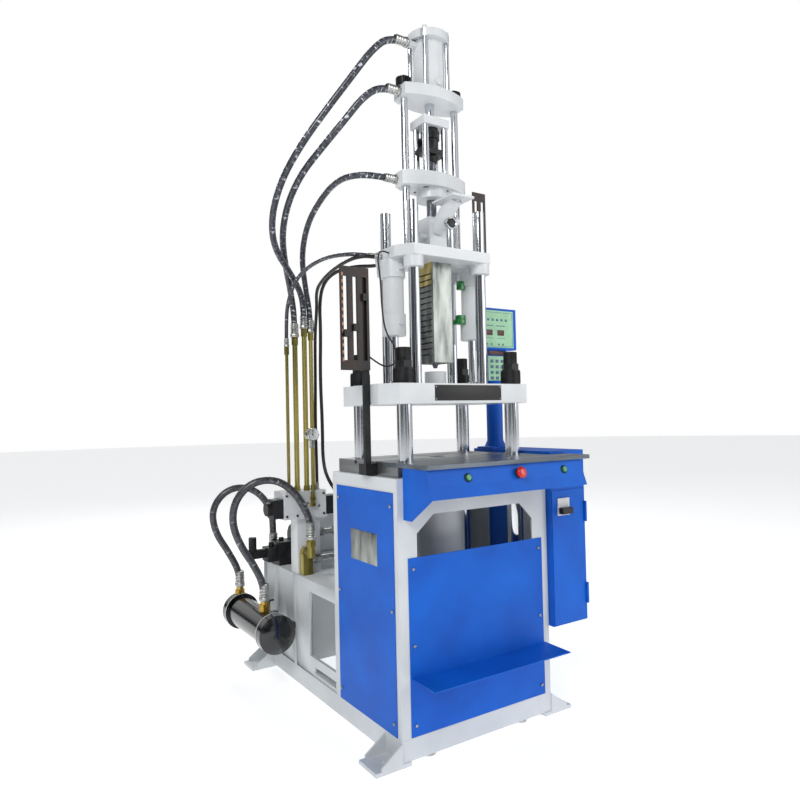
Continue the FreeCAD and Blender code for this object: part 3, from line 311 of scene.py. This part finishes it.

# %% [markdown]
# Hydraulic hose arrives wrapped in clear film, and on this machine the film was left on. The
# rubber is dark slate. The light that wrinkles in the film catch is painted into its colour as
# small white glints, a painted highlight. The tube's own UV map runs in metres along and around
# the hose, so the film winds round it.

# %% Hose rubber under clear film
def filmed_rubber(name, base_dark, base_light, painted_glint, share):
    paint = bpy.data.materials.new(name)
    paint.use_nodes = True
    nodes, links = paint.node_tree.nodes, paint.node_tree.links
    shader = nodes["Principled BSDF"]
    shader.inputs["Coat Weight"].default_value = 0.5
    shader.inputs["Coat Roughness"].default_value = 0.18
    lay = nodes.new("ShaderNodeUVMap")
    lay.uv_map = "UVMap"
    slant = nodes.new("ShaderNodeMapping")
    slant.inputs["Rotation"].default_value = (0, 0, math.radians(28))
    slant.inputs["Scale"].default_value = (1.0, 0.42, 1)
    wrinkle = nodes.new("ShaderNodeTexNoise")
    wrinkle.inputs["Scale"].default_value = 95
    wrinkle.inputs["Detail"].default_value = 6
    wrinkle.inputs["Distortion"].default_value = 0.6
    bands = nodes.new("ShaderNodeValToRGB")
    # The last stop of this ramp is a painted highlight: white glints painted into the rubber's
    # colour.
    set_stops(bands, (0.34, tint(*base_dark)), (share + .1, tint(*painted_glint)))
    bands.color_ramp.elements.new(share).color = tint(*base_light)
    shine = nodes.new("ShaderNodeMapRange")
    shine.inputs["To Min"].default_value, shine.inputs["To Max"].default_value = 0.5, 0.16
    bump = nodes.new("ShaderNodeBump")
    bump.inputs["Strength"].default_value = 0.5
    bump.inputs["Distance"].default_value = 0.0012
    for a, b in ((lay.outputs["UV"], slant.inputs["Vector"]),
                 (slant.outputs["Vector"], wrinkle.inputs["Vector"]),
                 (wrinkle.outputs["Fac"], bands.inputs["Fac"]),
                 (bands.outputs["Color"], shader.inputs["Base Color"]),
                 (wrinkle.outputs["Fac"], shine.inputs["Value"]),
                 (shine.outputs["Result"], shader.inputs["Roughness"]),
                 (wrinkle.outputs["Fac"], bump.inputs["Height"]),
                 (bump.outputs["Normal"], shader.inputs["Normal"])):
        links.new(a, b)
    finishes[name] = paint
    return paint


# The third colour of each hose is its painted highlight, white glints painted into the rubber.
film_hose = filmed_rubber("filmed hose", (22, 24, 30), (58, 62, 74), (226, 230, 236), .60)
cooler_hose = filmed_rubber("filmed cooler hose", (26, 27, 30), (66, 68, 74), (214, 216, 220), .64)
plain_rubber = finish("plain cable jacket", (10, 10, 11), (24, 24, 26), 60, gloss=(.3, .46),
                      grain=380, bite=.2)

# %% [markdown]
# The hoses are made before anything else that can be seen. Each follows one smooth line from
# a few points. Five hoses and the cable loom join the standing risers to the injection seat,
# which rides on the moving platen. Each such hose is made in two lengths that meet end to end:
# a long one between the base and the platen, and a short head between the platen and the seat.

# %% Read a smooth line, and lay a tube on it
def smooth_line(points):
    curve = bpy.data.curves.new("route", "CURVE")
    curve.dimensions = "3D"
    spline = curve.splines.new("NURBS")
    spline.points.add(len(points) - 1)
    for knot, point in zip(spline.points, points):
        knot.co = (*point, 1)
    spline.order_u, spline.use_endpoint_u, spline.resolution_u = 3, True, 10
    holder = bpy.data.objects.new("route", curve)
    scene.collection.objects.link(holder)
    mesh = bpy.data.meshes.new_from_object(holder)
    line = [v.co.copy() for v in mesh.vertices]
    bpy.data.objects.remove(holder)
    return line


def length_of(line):
    return sum((b - a).length for a, b in zip(line, line[1:]))


def tube(name, line, thick, paint):
    curve = bpy.data.curves.new(name, "CURVE")
    curve.dimensions, curve.bevel_depth, curve.bevel_resolution = "3D", thick / 2, 6
    curve.use_fill_caps = True
    spline = curve.splines.new("POLY")
    spline.points.add(len(line) - 1)
    for knot, point in zip(spline.points, line):
        knot.co = (*point, 1)
    holder = bpy.data.objects.new(name, curve)
    scene.collection.objects.link(holder)
    mesh = bpy.data.meshes.new_from_object(holder)
    bpy.data.objects.remove(holder)
    mesh.name = name
    along, around = length_of(line), math.pi * thick
    for corner in mesh.uv_layers[0].data:
        corner.uv = (corner.uv[0] * along, corner.uv[1] * around)
    mesh.materials.clear()
    mesh.materials.append(paint)
    mesh.shade_smooth()
    piece = bpy.data.objects.new(name, mesh)
    scene.collection.objects.link(piece)
    return piece


# %% The hoses that run to the injection seat
def moving_hose(node, thick, points, paint, head_share=0.24):
    """Points run from the seat's fitting down to the standing end."""
    line = smooth_line(points)
    whole = length_of(line)
    walked, cut = 0.0, 0
    while walked < head_share * whole:
        walked += (line[cut + 1] - line[cut]).length
        cut += 1
    head, tail = line[:cut + 1], line[cut:]
    tail.reverse()
    upper = tube(node + "_head", head, thick, paint)
    lower = tube(node + "_tail", tail, thick, paint)
    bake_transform(lower)
    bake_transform(upper)
    if node in frame["nodes"]:
        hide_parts(node)
    print(node, "length", round(whole, 3))


hose_press_top = [
    (-.097, -.368, 2.590), (-.178, -.368, 2.590), (-.246, -.352, 2.532), (-.326, -.304, 2.410),
    (-.398, -.250, 2.300), (-.470, -.185, 2.180), (-.520, -.110, 2.060), (-.526, -.020, 1.940),
    (-.484, .055, 1.840), (-.384, .115, 1.755), (-.310, .180, 1.690), (-.283, .219, 1.615),
    (-.283, .219, 1.545)]
hose_press_low = [
    (-.139, -.368, 2.390), (-.218, -.368, 2.390), (-.284, -.346, 2.346), (-.340, -.296, 2.262),
    (-.402, -.230, 2.170), (-.454, -.150, 2.085), (-.474, -.060, 1.990), (-.456, .040, 1.896),
    (-.406, .130, 1.808), (-.352, .200, 1.704), (-.328, .219, 1.600), (-.328, .219, 1.506)]
hose_screw_in = [
    (-.150, -.350, 2.054), (-.236, -.350, 2.054), (-.302, -.306, 2.060), (-.330, -.220, 2.062),
    (-.336, -.110, 2.040), (-.344, .030, 1.965), (-.330, .130, 1.850), (-.285, .196, 1.730),
    (-.252, .219, 1.615), (-.252, .219, 1.530)]
hose_seat_up = [
    (-.222, -.315, 1.758), (-.284, -.315, 1.758), (-.328, -.284, 1.762), (-.350, -.220, 1.768),
    (-.360, -.130, 1.773), (-.368, -.020, 1.764), (-.384, .080, 1.725), (-.380, .175, 1.640),
    (-.367, .219, 1.540), (-.367, .219, 1.462)]
hose_seat_down = [
    (-.222, -.345, 1.748), (-.276, -.345, 1.748), (-.312, -.318, 1.745), (-.326, -.262, 1.740),
    (-.324, -.160, 1.732), (-.314, -.050, 1.718), (-.288, .080, 1.694), (-.238, .178, 1.635),
    (-.222, .236, 1.530), (-.219, .246, 1.330), (-.225, .242, 1.130), (-.221, .246, .960),
    (-.222, .243, .885), (-.222, .243, .835)]
cable_loom = [
    (-.150, -.233, 1.755), (-.150, -.185, 1.755), (-.195, -.090, 1.770), (-.232, .020, 1.764),
    (-.242, .112, 1.726), (-.222, .185, 1.650), (-.204, .214, 1.540), (-.210, .216, 1.330),
    (-.204, .214, 1.120), (-.208, .210, .940), (-.200, .150, .855), (-.190, .040, .800),
    (-.184, -.080, .768), (-.184, -.142, .768)]
fitted_hoses = (("hose_press_top", .026, hose_press_top, film_hose),
                ("hose_press_low", .026, hose_press_low, film_hose),
                ("hose_screw_in", .024, hose_screw_in, film_hose),
                ("hose_seat_up", .016, hose_seat_up, film_hose),
                ("hose_seat_down", .014, hose_seat_down, plain_rubber, .12))
for row in fitted_hoses:
    moving_hose(*row)
moving_hose("cable_loom", .015, cable_loom, plain_rubber, .12)

# %% [markdown]
# A thin sensor lead leaves the seat plate, drops in a long loop and comes back to the stroke
# rack. It is the one cord the solid model leaves out, so it is only drawn here.

# %% Sensor lead of the stroke rack
rack_lead = [
    (-.222, -.400, 1.752), (-.262, -.418, 1.756), (-.298, -.440, 1.728), (-.290, -.448, 1.640),
    (-.288, -.448, 1.548), (-.276, -.448, 1.452), (-.232, -.448, 1.402), (-.232, -.448, 1.340),
    (-.276, -.449, 1.326), (-.318, -.450, 1.344), (-.344, -.451, 1.361)]
moving_hose("rack_lead", .006, rack_lead, plain_rubber, .2)

# %% [markdown]
# The two cooler hoses stay where they are, so they simply ride on the base. They are the
# thickest hoses of the machine and stand up in two tight loops beside the tank.

# %% The standing cooler hoses
hose_cooler_rear = [
    (-.455, .612, .365), (-.455, .612, .430), (-.505, .620, .530), (-.566, .626, .630),
    (-.582, .620, .735), (-.528, .602, .818), (-.438, .578, .840), (-.358, .558, .790),
    (-.314, .547, .700), (-.312, .545, .610), (-.312, .545, .537)]
hose_cooler_front = [
    (-.455, .302, .365), (-.455, .302, .428), (-.500, .296, .522), (-.562, .288, .615),
    (-.602, .278, .715), (-.594, .258, .815), (-.532, .232, .886), (-.440, .203, .898),
    (-.362, .175, .842), (-.314, .156, .750), (-.300, .150, .690), (-.300, .150, .634)]
cooler_thick = .032
cooler_routes = (("hose_cooler_rear", hose_cooler_rear), ("hose_cooler_front", hose_cooler_front))
for node, points in cooler_routes:
    line = smooth_line(points)
    hose = tube(node + "_loop", line, cooler_thick, cooler_hose)
    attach(hose, "base")
    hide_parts(node)
    print(node, "length", round(length_of(line), 3))

# %% [markdown]
# The solid model arrives as loose triangles with knife edges. A helper copies each node,
# welds the copy, joins its flat triangles and rounds its edges by a millimetre or so, because
# a real edge always catches a thin line of light. Where one casting has a part in another
# finish, such as a chromed pillar under a painted block, a test on each face picks it out.

# %% Dress a node of the solid model
def welded(source, join):
    """Weld a loose mesh and, if asked, join its flat triangles into whole faces."""
    work = bmesh.new()
    work.from_mesh(source)
    bmesh.ops.remove_doubles(work, verts=work.verts, dist=0.00001)
    if join:
        bmesh.ops.dissolve_limit(work, angle_limit=math.radians(0.6), verts=work.verts,
                                 edges=work.edges)
    return work


def dress(node, paint, soften=0.0012, zones=(), join=True):
    source = frame["nodes"][node]
    work = welded(source.data, join)
    mesh = bpy.data.meshes.new(node + "_finished")
    for face in work.faces:
        face.material_index = 0
        middle = face.calc_center_median()
        for index, (test, _) in enumerate(zones, start=1):
            if test(middle, face.normal):
                face.material_index = index
    work.to_mesh(mesh)
    work.free()
    for one in (paint, *(z[1] for z in zones)):
        mesh.materials.append(one)
    mesh.shade_smooth()
    mesh.set_sharp_from_angle(angle=math.radians(32))
    piece = bpy.data.objects.new(node + "_finished", mesh)
    scene.collection.objects.link(piece)
    if soften:
        edge = piece.modifiers.new("soft edges", "BEVEL")
        edge.width, edge.segments, edge.limit_method = soften, 2, "ANGLE"
        edge.angle_limit, edge.harden_normals = math.radians(40), True
        edge.use_clamp_overlap = True
    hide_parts(node)
    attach(piece, source["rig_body"])
    return piece


# %% Base, panels and table
for node in ("base_frame", "cabinet"):
    dress(node, shell_white, .0018)
# The tank keeps its triangles and sharp edges: joining and rounding it together left a stray
# face across one of its openings.
dress("oil_tank", shell_white, 0, join=False)
for node in ("side_panels", "front_panel", "apron"):
    dress(node, blue, .0008)
for node in ("electric_box", "pedestal", "control_box"):
    dress(node, blue, .0016)
dress("fixed_platen", ground_steel, .0012)
dress("work_table", table_steel, .0012)
dress("fixings", zinc, .0008)
surround = lambda c, n: c.y < -.6301 and .372 < c.x < .437 and .752 < c.z < .824
dress("box_door", blue, .0006, [(surround, white_plastic)])
dress("main_switch", black_plastic, .0014)

# %% Clamp and injection unit
for node in ("moving_platen", "seat_plate", "middle_plate", "top_plate"):
    dress(node, white, .0022)
for node in ("locating_ring", "seat_cylinders", "clamp_cylinder", "clamp_yoke"):
    dress(node, white, .0014)
dress("injection_cylinder", white, .001,
      [(lambda c, n: math.hypot(c.x, c.y - press_y) > .0625 and 2.413 < c.z < 2.639
        and abs(c.x) < .07 and c.y > -.43, chrome)])
dress("tie_bars", chrome, .0006, [(lambda c, n: c.z > 1.2651, black_oxide)])
dress("tie_bar_nuts", black_oxide, .001)
dress("carriage_rods", chrome, .0008)
dress("uprights", chrome, .0008, [(lambda c, n: c.z > 2.4121, black_oxide)])
dress("crosshead", white, .001, [(lambda c, n: c.z < 2.2715 or c.z > 2.3045, chrome)])
dress("barrel", tool_steel, .0006)
dress("screw", tool_steel, 0, [(lambda c, n: c.z > 2.085, black_oxide)])
dress("screw_motor", black_oxide, .001)
dress("heat_shield", bright_sheet, .0004, [(lambda c, n: c.z > 1.665, amber_mica)])
dress("feed_throat", white, .0008)

# %% Hydraulics and stroke racks
for node in ("manifold", "drive_motor"):
    dress(node, white, .0014)
dress("oil_pump", black_oxide, .0014)
dress("solenoid_valves", black_plastic, .0016)
dress("riser_pipes", yellow_pipe, 0)
dress("pipe_fittings", yellow_pipe, .0006,
      [(lambda c, n: c.z < .70 and (c.x > -.285 or c.y > .4), zinc)])
on_stub = lambda c, n: c.z > .3242 and min(
    math.hypot(c.x - cooler_x, c.y - y) for y in stub_ys) < .024
dress("oil_cooler", cooler_black, .0012, [(on_stub, brass)])
for node in ("rack_left", "rack_right"):
    dress(node, laminate, .0005)
dress("rack_post", black_oxide, .0008)
for number in "123":
    dress("rack_slider_" + number, black_plastic, .001)

# %% [markdown]
# Small hardware is turned, cut from bar or folded, and so are these helpers: a profile spun
# round an axis, a block with rounded edges, and a six sided bar. Each adds to a mesh that is
# being built, so that a row of screws becomes one piece.

# %% Helpers for small hardware
def stand(at, along=(0, 0, 1)):
    spin = Vector((0, 0, 1)).rotation_difference(Vector(along)).to_matrix().to_4x4()
    return Matrix.Translation(at) @ spin


def mark_built(work):
    """Tag every face so far, so that the next shape can tell its own."""
    for face in work.faces:
        face.tag = True


def turned(work, outline, at, along=(0, 0, 1), steps=32):
    """Spin (radius, height) points round an axis."""
    verts = [work.verts.new((r, 0, h)) for r, h in outline]
    edges = [work.edges.new(pair) for pair in zip(verts, verts[1:])]
    bmesh.ops.spin(work, geom=verts + edges, axis=(0, 0, 1), cent=(0, 0, 0), dvec=(0, 0, 0),
                   angle=math.tau, steps=steps, use_merge=True)
    new = list({v for f in work.faces if not f.tag for v in f.verts})
    bmesh.ops.transform(work, matrix=stand(at, along), verts=new)
    mark_built(work)


def block(work, low, high, soft=0.0005):
    low, high = Vector(low), Vector(high)
    size = Matrix.Diagonal((*(high - low), 1))
    made = bmesh.ops.create_cube(work, size=1, matrix=Matrix.Translation((low + high) / 2) @ size)
    if soft:
        edges = list({e for v in made["verts"] for e in v.link_edges})
        bmesh.ops.bevel(work, geom=edges, offset=soft, offset_type="OFFSET", segments=2,
                        profile=0.5, affect="EDGES", material=-1, clamp_overlap=True)
    mark_built(work)


def hex_bar(work, at, along, across, length):
    made = bmesh.ops.create_cone(work, cap_ends=True, segments=6, radius1=across / 2,
                                 radius2=across / 2, depth=length,
                                 matrix=stand(at, along) @ Matrix.Translation((0, 0, length / 2)))
    edges = list({e for v in made["verts"] for e in v.link_edges})
    bmesh.ops.bevel(work, geom=edges, offset=across * .03, offset_type="OFFSET", segments=1,
                    profile=0.5, affect="EDGES", material=-1, clamp_overlap=True)
    mark_built(work)


def settle(name, work, paint, body):
    bmesh.ops.remove_doubles(work, verts=work.verts, dist=0.000002)
    bmesh.ops.recalc_face_normals(work, faces=work.faces)
    mesh = bpy.data.meshes.new(name)
    work.to_mesh(mesh)
    work.free()
    mesh.materials.append(paint)
    mesh.shade_smooth()
    mesh.set_sharp_from_angle(angle=math.radians(35))
    piece = bpy.data.objects.new(name, mesh)
    scene.collection.objects.link(piece)
    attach(piece, body)
    print(name, "faces", len(mesh.polygons))
    return piece


# %% [markdown]
# Every hose end has a crimped ferrule: a sleeve pressed on in rings, then a swivel nut. They
# hide the cut end of the hose and carry it into the fitting.

# %% Crimped ferrules
def ferrule(work, at, along, thick):
    r = thick / 2
    rings = [(r * .9, 0), (r * 1.25, 0), (r * 1.25, thick * .5)]
    for k in range(4):
        h = thick * (.55 + .42 * k)
        rings += [(r * 1.2, h), (r * 1.34, h + thick * .08), (r * 1.34, h + thick * .26),
                  (r * 1.2, h + thick * .34)]
    rings += [(r * 1.18, thick * 2.28), (r * .95, thick * 2.32)]
    turned(work, rings, at, along)
    hex_bar(work, at, along, thick * 1.5, thick * .55)


upper_ends, lower_ends = bmesh.new(), bmesh.new()
for _, thick, points, *_ in fitted_hoses:
    ferrule(upper_ends, points[0], (-1, 0, 0), thick)
    ferrule(lower_ends, points[-1], (0, 0, 1), thick)
settle("seat_ferrules", upper_ends, zinc, "seat")
for end in (-1, 0):
    for _, points in cooler_routes:
        ferrule(lower_ends, points[end], (0, 0, 1), cooler_thick)
settle("riser_ferrules", lower_ends, zinc, "base")

# %% [markdown]
# The push buttons stand square on the sloping face of the cowl, each in a black bezel. The
# two outer ones are green. The emergency stop is a red mushroom, turned from a profile with a
# rolled rim and a slightly domed top.

# %% Push buttons and emergency stop
fold_z, row_z = .925, .945
left_x, stop_x, right_x = -.157, .065, .286
fold, lip = Vector((0, -.756, fold_z)), Vector((0, -.741, .978))
slope = (lip - fold).normalized()
outward = Vector((0, -slope.z, slope.y))
row = fold + slope * ((row_z - fold_z) / slope.z)
bezels = bmesh.new()
for x in (left_x, right_x):
    turned(bezels, [(.0113, -.001), (.0113, .0042), (.0125, .005), (.0142, .0036), (.015, .001),
                    (.015, -.001), (.0113, -.001)], row + Vector((x, 0, 0)), outward, 40)
turned(bezels, [(.0113, -.001), (.0113, .0052), (.016, .0052), (.0175, .0040), (.0178, -.001),
                (.0113, -.001)], row + Vector((stop_x, 0, 0)), outward, 40)
settle("button_bezels", bezels, black_plastic, "base")
for side, x in (("left", left_x), ("right", right_x)):
    cap = bmesh.new()
    turned(cap, [(0, -.016), (.0108, -.016), (.0109, .0062), (.0104, .0074), (.0092, .008),
                 (.0085, .0074), (0, .0070)], row + Vector((x, 0, 0)), outward, 36)
    piece = settle("green_cap_" + side, cap, green_plastic, "start_" + side)
    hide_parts("start_button_" + side)
head = bmesh.new()
turned(head, [(0, -.018), (.0109, -.018), (.0109, .0115), (.0165, .012), (.0192, .0128),
              (.0199, .0152), (.0199, .0180), (.0190, .0218), (.0165, .0248), (.011, .0264),
              (0, .0270)], row + Vector((stop_x, 0, 0)), outward, 44)
stop = settle("stop_mushroom", head, red_plastic, "estop")
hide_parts("estop_button")

# %% [markdown]
# Bare rating plates and screw heads break up the big panels. The plates carry no print. Pan
# head screws are turned domes. Two thin dark bars set across the top of each dome stand in for
# its cross recess: their black is painted shade where the hollow would be.

# %% Plates and panel screws
plates = bmesh.new()
block(plates, (-.3442, -.474, .634), (-.3430, -.288, .744), .0004)
settle("side_plate", plates, bright_sheet, "base")
front_plate = bmesh.new()
face_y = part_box("moving_platen")[0].y
block(front_plate, (-.146, face_y - .0012, 1.203), (.162, face_y, 1.259), .0004)
settle("front_plate", front_plate, black_plastic, "clamp")
rivets = bmesh.new()
for x in (-.140, .156):
    for z in (1.209, 1.253):
        turned(rivets, [(0, .0016), (.0016, .0013), (.0024, 0)], (x, face_y - .0012, z),
               (0, -1, 0), 16)
settle("plate_rivets", rivets, zinc, "clamp")
domes, recess_shade = bmesh.new(), bmesh.new()
spots_left = [(-.346, y, z) for z in (.130, .500, .850) for y in (-.565, -.194)]
spots_front = [(x, -.609, z) for z in (.125, .385, .640) for x in (-.284, .290)]
for at, along in [(p, (-1, 0, 0)) for p in spots_left] + [(p, (0, -1, 0)) for p in spots_front]:
    turned(domes, [(.0055, 0), (.0053, .0012), (.0042, .0024), (.0022, .003), (0, .0032)],
           at, along, 20)
    tip = Vector(at) + Vector(along) * .0031
    for long, short in ((.0030, .0004), (.0004, .0030)):
        half = Vector((.0003, long, short)) if along[0] else Vector((long, .0003, short))
        block(recess_shade, tip - half, tip + half, 0)
settle("panel_screw_heads", domes, zinc, "base")
# These dark bars are painted shade, standing in for the hollow of each screw's cross recess.
settle("panel_screw_recess_shade", recess_shade, black_oxide, "base")

# %% [markdown]
# The pressure gauge has a rolled steel bezel and a white dial with ticks and plain numbers.
# The ticks are thin blocks laid on the dial and turned round its middle.

# %% Pressure gauge
gauge = Vector((-.272, .183, 1.080))
round_case = lambda c, n: c.z > 1.05 and math.hypot(c.x - gauge.x, c.z - gauge.z) < .0245
dress("pressure_gauge", zinc, .0005,
      [(round_case, white_plastic), (lambda c, n: c.z < 1.04, yellow_pipe)])
dress("gauge_needle", black_plastic, 0)
bezel = bmesh.new()
turned(bezel, [(.0242, -.001), (.0242, .0015), (.0256, .003), (.0276, .0022), (.0284, .0002),
               (.0284, -.004), (.0242, -.001)], gauge + Vector((0, -.016, 0)), (0, -1, 0), 48)
settle("gauge_bezel", bezel, chrome, "base")
ticks = bmesh.new()
dial_start, dial_sweep = -130, 260          # degrees from straight up
for k in range(21):
    angle = math.radians(dial_start + dial_sweep // 20 * k)
    reach = Vector((math.sin(angle), 0, math.cos(angle)))
    long = .0042 if k % 5 == 0 else .0024
    middle = gauge + Vector((0, -.00815, 0)) + reach * (.0212 - long / 2)
    bmesh.ops.create_cube(ticks, size=1, matrix=Matrix.Translation(middle)
                          @ Matrix.Rotation(angle, 4, "Y")
                          @ Matrix.Diagonal((.0005, .0003, long, 1)))
settle("gauge_ticks", ticks, black_plastic, "base")
for k, word in enumerate(("0", "4", "8", "12", "16")):
    angle = math.radians(dial_start + dial_sweep // 4 * k)
    letters = bpy.data.curves.new("number" + word, "FONT")
    letters.body, letters.size, letters.align_x, letters.align_y = word, .0062, "CENTER", "CENTER"
    holder = bpy.data.objects.new("number" + word, letters)
    scene.collection.objects.link(holder)
    flat = bpy.data.meshes.new_from_object(holder)
    bpy.data.objects.remove(holder)
    flat.transform(Matrix.Translation(gauge + Vector((math.sin(angle) * .0138, -.0084,
                                                      math.cos(angle) * .0138)))
                   @ Matrix.Rotation(math.radians(90), 4, "X"))
    flat.materials.append(black_plastic)
    number = bpy.data.objects.new("gauge_number_" + word, flat)
    scene.collection.objects.link(number)
    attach(number, "base")

# %% [markdown]
# The control box has a pale green film front. It shows two dark red windows over a row of
# four small lamps, and under it a keypad with three columns of keys. The film is one sheet, so
# the keys do not travel: they are shallow pads 0.6 mm proud.

# %% Control box front
dress("control_face", film_green, .0006)
face_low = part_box("control_face")[0]
windows, lamps, keys, frames = bmesh.new(), bmesh.new(), bmesh.new(), bmesh.new()
top = face_low.y - .0001
for x in (.346, .411):
    block(windows, (x - .0185, top - .0010, 1.490), (x + .0185, top, 1.514), .0003)
    for dx in (-.012, .012):
        turned(lamps, [(.0042, 0), (.004, .0010), (.0026, .0020), (0, .0024)],
               (x + dx, top, 1.452), (0, -1, 0), 18)
    block(frames, (x - .0235, top - .0005, 1.530), (x + .0235, top, 1.5335), .0001)
    block(frames, (x - .0235, top - .0005, 1.4775), (x + .0235, top, 1.479), .0001)
for low_x, high_x, low_z, high_z in (
        (.3255, .4785, 1.5885, 1.5900), (.3255, .4785, 1.4430, 1.4445),
        (.3255, .3270, 1.4430, 1.5900), (.4770, .4785, 1.4430, 1.5900)):
    block(frames, (low_x, top - .0005, low_z), (high_x, top, high_z), .0001)
for step in range(5):
    x = .342 + .025 * step
    block(frames, (x - .006, top - .0005, 1.552), (x + .006, top, 1.562), .0001)
keypad = -.2742                             # the front face of the keypad, along Y
for column in range(3):
    for line_up in range(4):
        x, z = .371 + .029 * column, 1.307 + .0245 * line_up
        block(keys, (x - .0085, keypad - .0006, z - .0068),
              (x + .0085, keypad + .0001, z + .0068), .0004)
settle("display_windows", windows, lit_red, "control")
settle("panel_lamps", lamps, key_blue, "control")
settle("panel_rules", frames, key_blue, "control")
settle("keypad_keys", keys, key_blue, "control")
strip = bmesh.new()
block(strip, (.352, -.2752, 1.4065), (.450, -.272, 1.4255), .0004)
settle("keypad_header", strip, lit_red, "control")

# %% [markdown]
# The left stroke rack carries a scale: a column of small copper coloured pads along one edge.
# Cap screws hold the manifold, the yoke and the seat plate. Each is a plain short cylinder with
# a round recess in its top.

# %% Rack scale and cap screws
pads = bmesh.new()
edge_x, front_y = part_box("rack_left")[0].x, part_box("rack_left")[0].y
for k in range(13):
    z = 1.349 + .0245 * k
    block(pads, (edge_x + .003, front_y - .0006, z - .006),
          (edge_x + .0095, front_y + .0002, z + .006), .0002)
copper = finish("copper scale", (120, 72, 48), (196, 150, 120), 120, gloss=(.3, .45), metal=.5)
settle("rack_scale", pads, copper, "base")


def cap_screws(name, spots, size, paint, body):
    heads = bmesh.new()
    for at, along in spots:
        turned(heads, [(0, size * .25), (size * .42, size * .25), (size * .45, size * .9),
                       (size * .72, size * .95), (size * .8, size * .85), (size * .8, 0)],
               at, along, 24)
    settle(name, heads, paint, body)


cap_screws("manifold_screws", [((x, .197, z), (0, -1, 0)) for x in (-.388, -.340, -.214)
                               for z in (.732, .820)], .006, black_oxide, "base")
cap_screws("yoke_screws", [((x, y, 1.265), (0, 0, 1)) for x in (-.060, .060)
                           for y in (-.428, -.308)], .008, black_oxide, "clamp")
cap_screws("seat_screws", [((x, y, 1.775), (0, 0, 1)) for x in (-.186, .186)
                           for y in (-.425, -.311)], .008, black_oxide, "seat")

# %% [markdown]
# Seven heater bands clamp round the barrel, inside the sheet guard. The lowest two fit the
# slimmer nozzle end. Each is a turned bright strap with a flange at both edges. Flat rings
# show as the gaskets of the oil cooler's two end covers.

# %% Heater bands and cooler gaskets
bands = bmesh.new()
for z in (1.352, 1.395, 1.44, 1.485, 1.53, 1.575, 1.62):
    r = .0258 if z < 1.40 else .0318
    turned(bands, [(r, 0), (r + .004, 0), (r + .004, .003), (r + .003, .004), (r + .003, .028),
                   (r + .004, .029), (r + .004, .032), (r, .032), (r, 0)], (0, press_y, z))
settle("heater_bands", bands, bright_sheet, "seat")
gaskets = bmesh.new()
for y in (.2015, .5835):
    turned(gaskets, [(.067, 0), (.0812, 0), (.0812, .003), (.067, .003), (.067, 0)],
           (cooler_x, y, cooler_z), (0, 1, 0), 64)
settle("cooler_gaskets", gaskets, white_plastic, "base")

# %% [markdown]
# The nuts on the bars are capped with ribbed black sleeves, so that a hand wheel or strap can
# grip them. Ribs are thin upright strips, set round the sleeve at even angles.

# %% Ribbed bar caps
ribs = bmesh.new()
for x in bar_xs:
    for y in bar_ys:
        for k in range(26):
            angle = math.tau * k / 26
            for r, low, high in ((.0252, 1.346, 1.389), (.0372, 1.270, 1.314)):
                bmesh.ops.create_cube(ribs, size=1, matrix=Matrix.Translation((x, y, 0))
                                      @ Matrix.Rotation(angle, 4, "Z")
                                      @ Matrix.Translation((r, 0, (low + high) / 2))
                                      @ Matrix.Diagonal((.0024, .0028, high - low, 1)))
settle("bar_cap_ribs", ribs, black_oxide, "clamp")
nut_ribs = bmesh.new()
for x in upright_xs:
    for k in range(22):
        bmesh.ops.create_cube(nut_ribs, size=1, matrix=Matrix.Translation((x, press_y, 2.429))
                              @ Matrix.Rotation(math.tau * k / 22, 4, "Z")
                              @ Matrix.Translation((.0272, 0, 0))
                              @ Matrix.Diagonal((.0050, .0034, .030, 1)))
settle("upright_nut_ribs", nut_ribs, black_oxide, "seat")

# %% [markdown]
# A round air fitting sits on the front of the feed chute: a white boss, a bright ring and a
# black face. Three small green connector blocks sit between the sheet guard and the right
# cylinder.

# %% Chute fitting and green plugs
lean = (-.05, -1, 0)
boss, ring, face = bmesh.new(), bmesh.new(), bmesh.new()
turned(boss, [(0, -.012), (.0165, -.012), (.0165, .024), (0, .024)], (.011, -.446, 1.877), lean)
turned(ring, [(.0185, 0), (.0185, .016), (.0205, .018), (.0232, .0165), (.0238, .013),
              (.0238, .001), (.0225, 0), (.0185, 0)], (.010, -.466, 1.877), lean, 40)
turned(face, [(0, .0105), (.0186, .0105), (.0186, .0125), (.012, .0142), (0, .0146)],
       (.010, -.466, 1.877), lean, 40)
settle("chute_boss", boss, white, "seat")
settle("chute_ring", ring, chrome, "seat")
settle("chute_face", face, black_plastic, "seat")
plugs = bmesh.new()
block(plugs, (.104, -.384, 1.512), (.149, -.352, 1.532), .001)
block(plugs, (.112, -.380, 1.532), (.147, -.356, 1.549), .001)
block(plugs, (.122, -.380, 1.652), (.149, -.356, 1.686), .001)
settle("green_plugs", plugs, green_plastic, "seat")

# %% Sizes and finish
low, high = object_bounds()
print("size of the finished model:", [round(b - a, 3) for a, b in zip(low, high)])
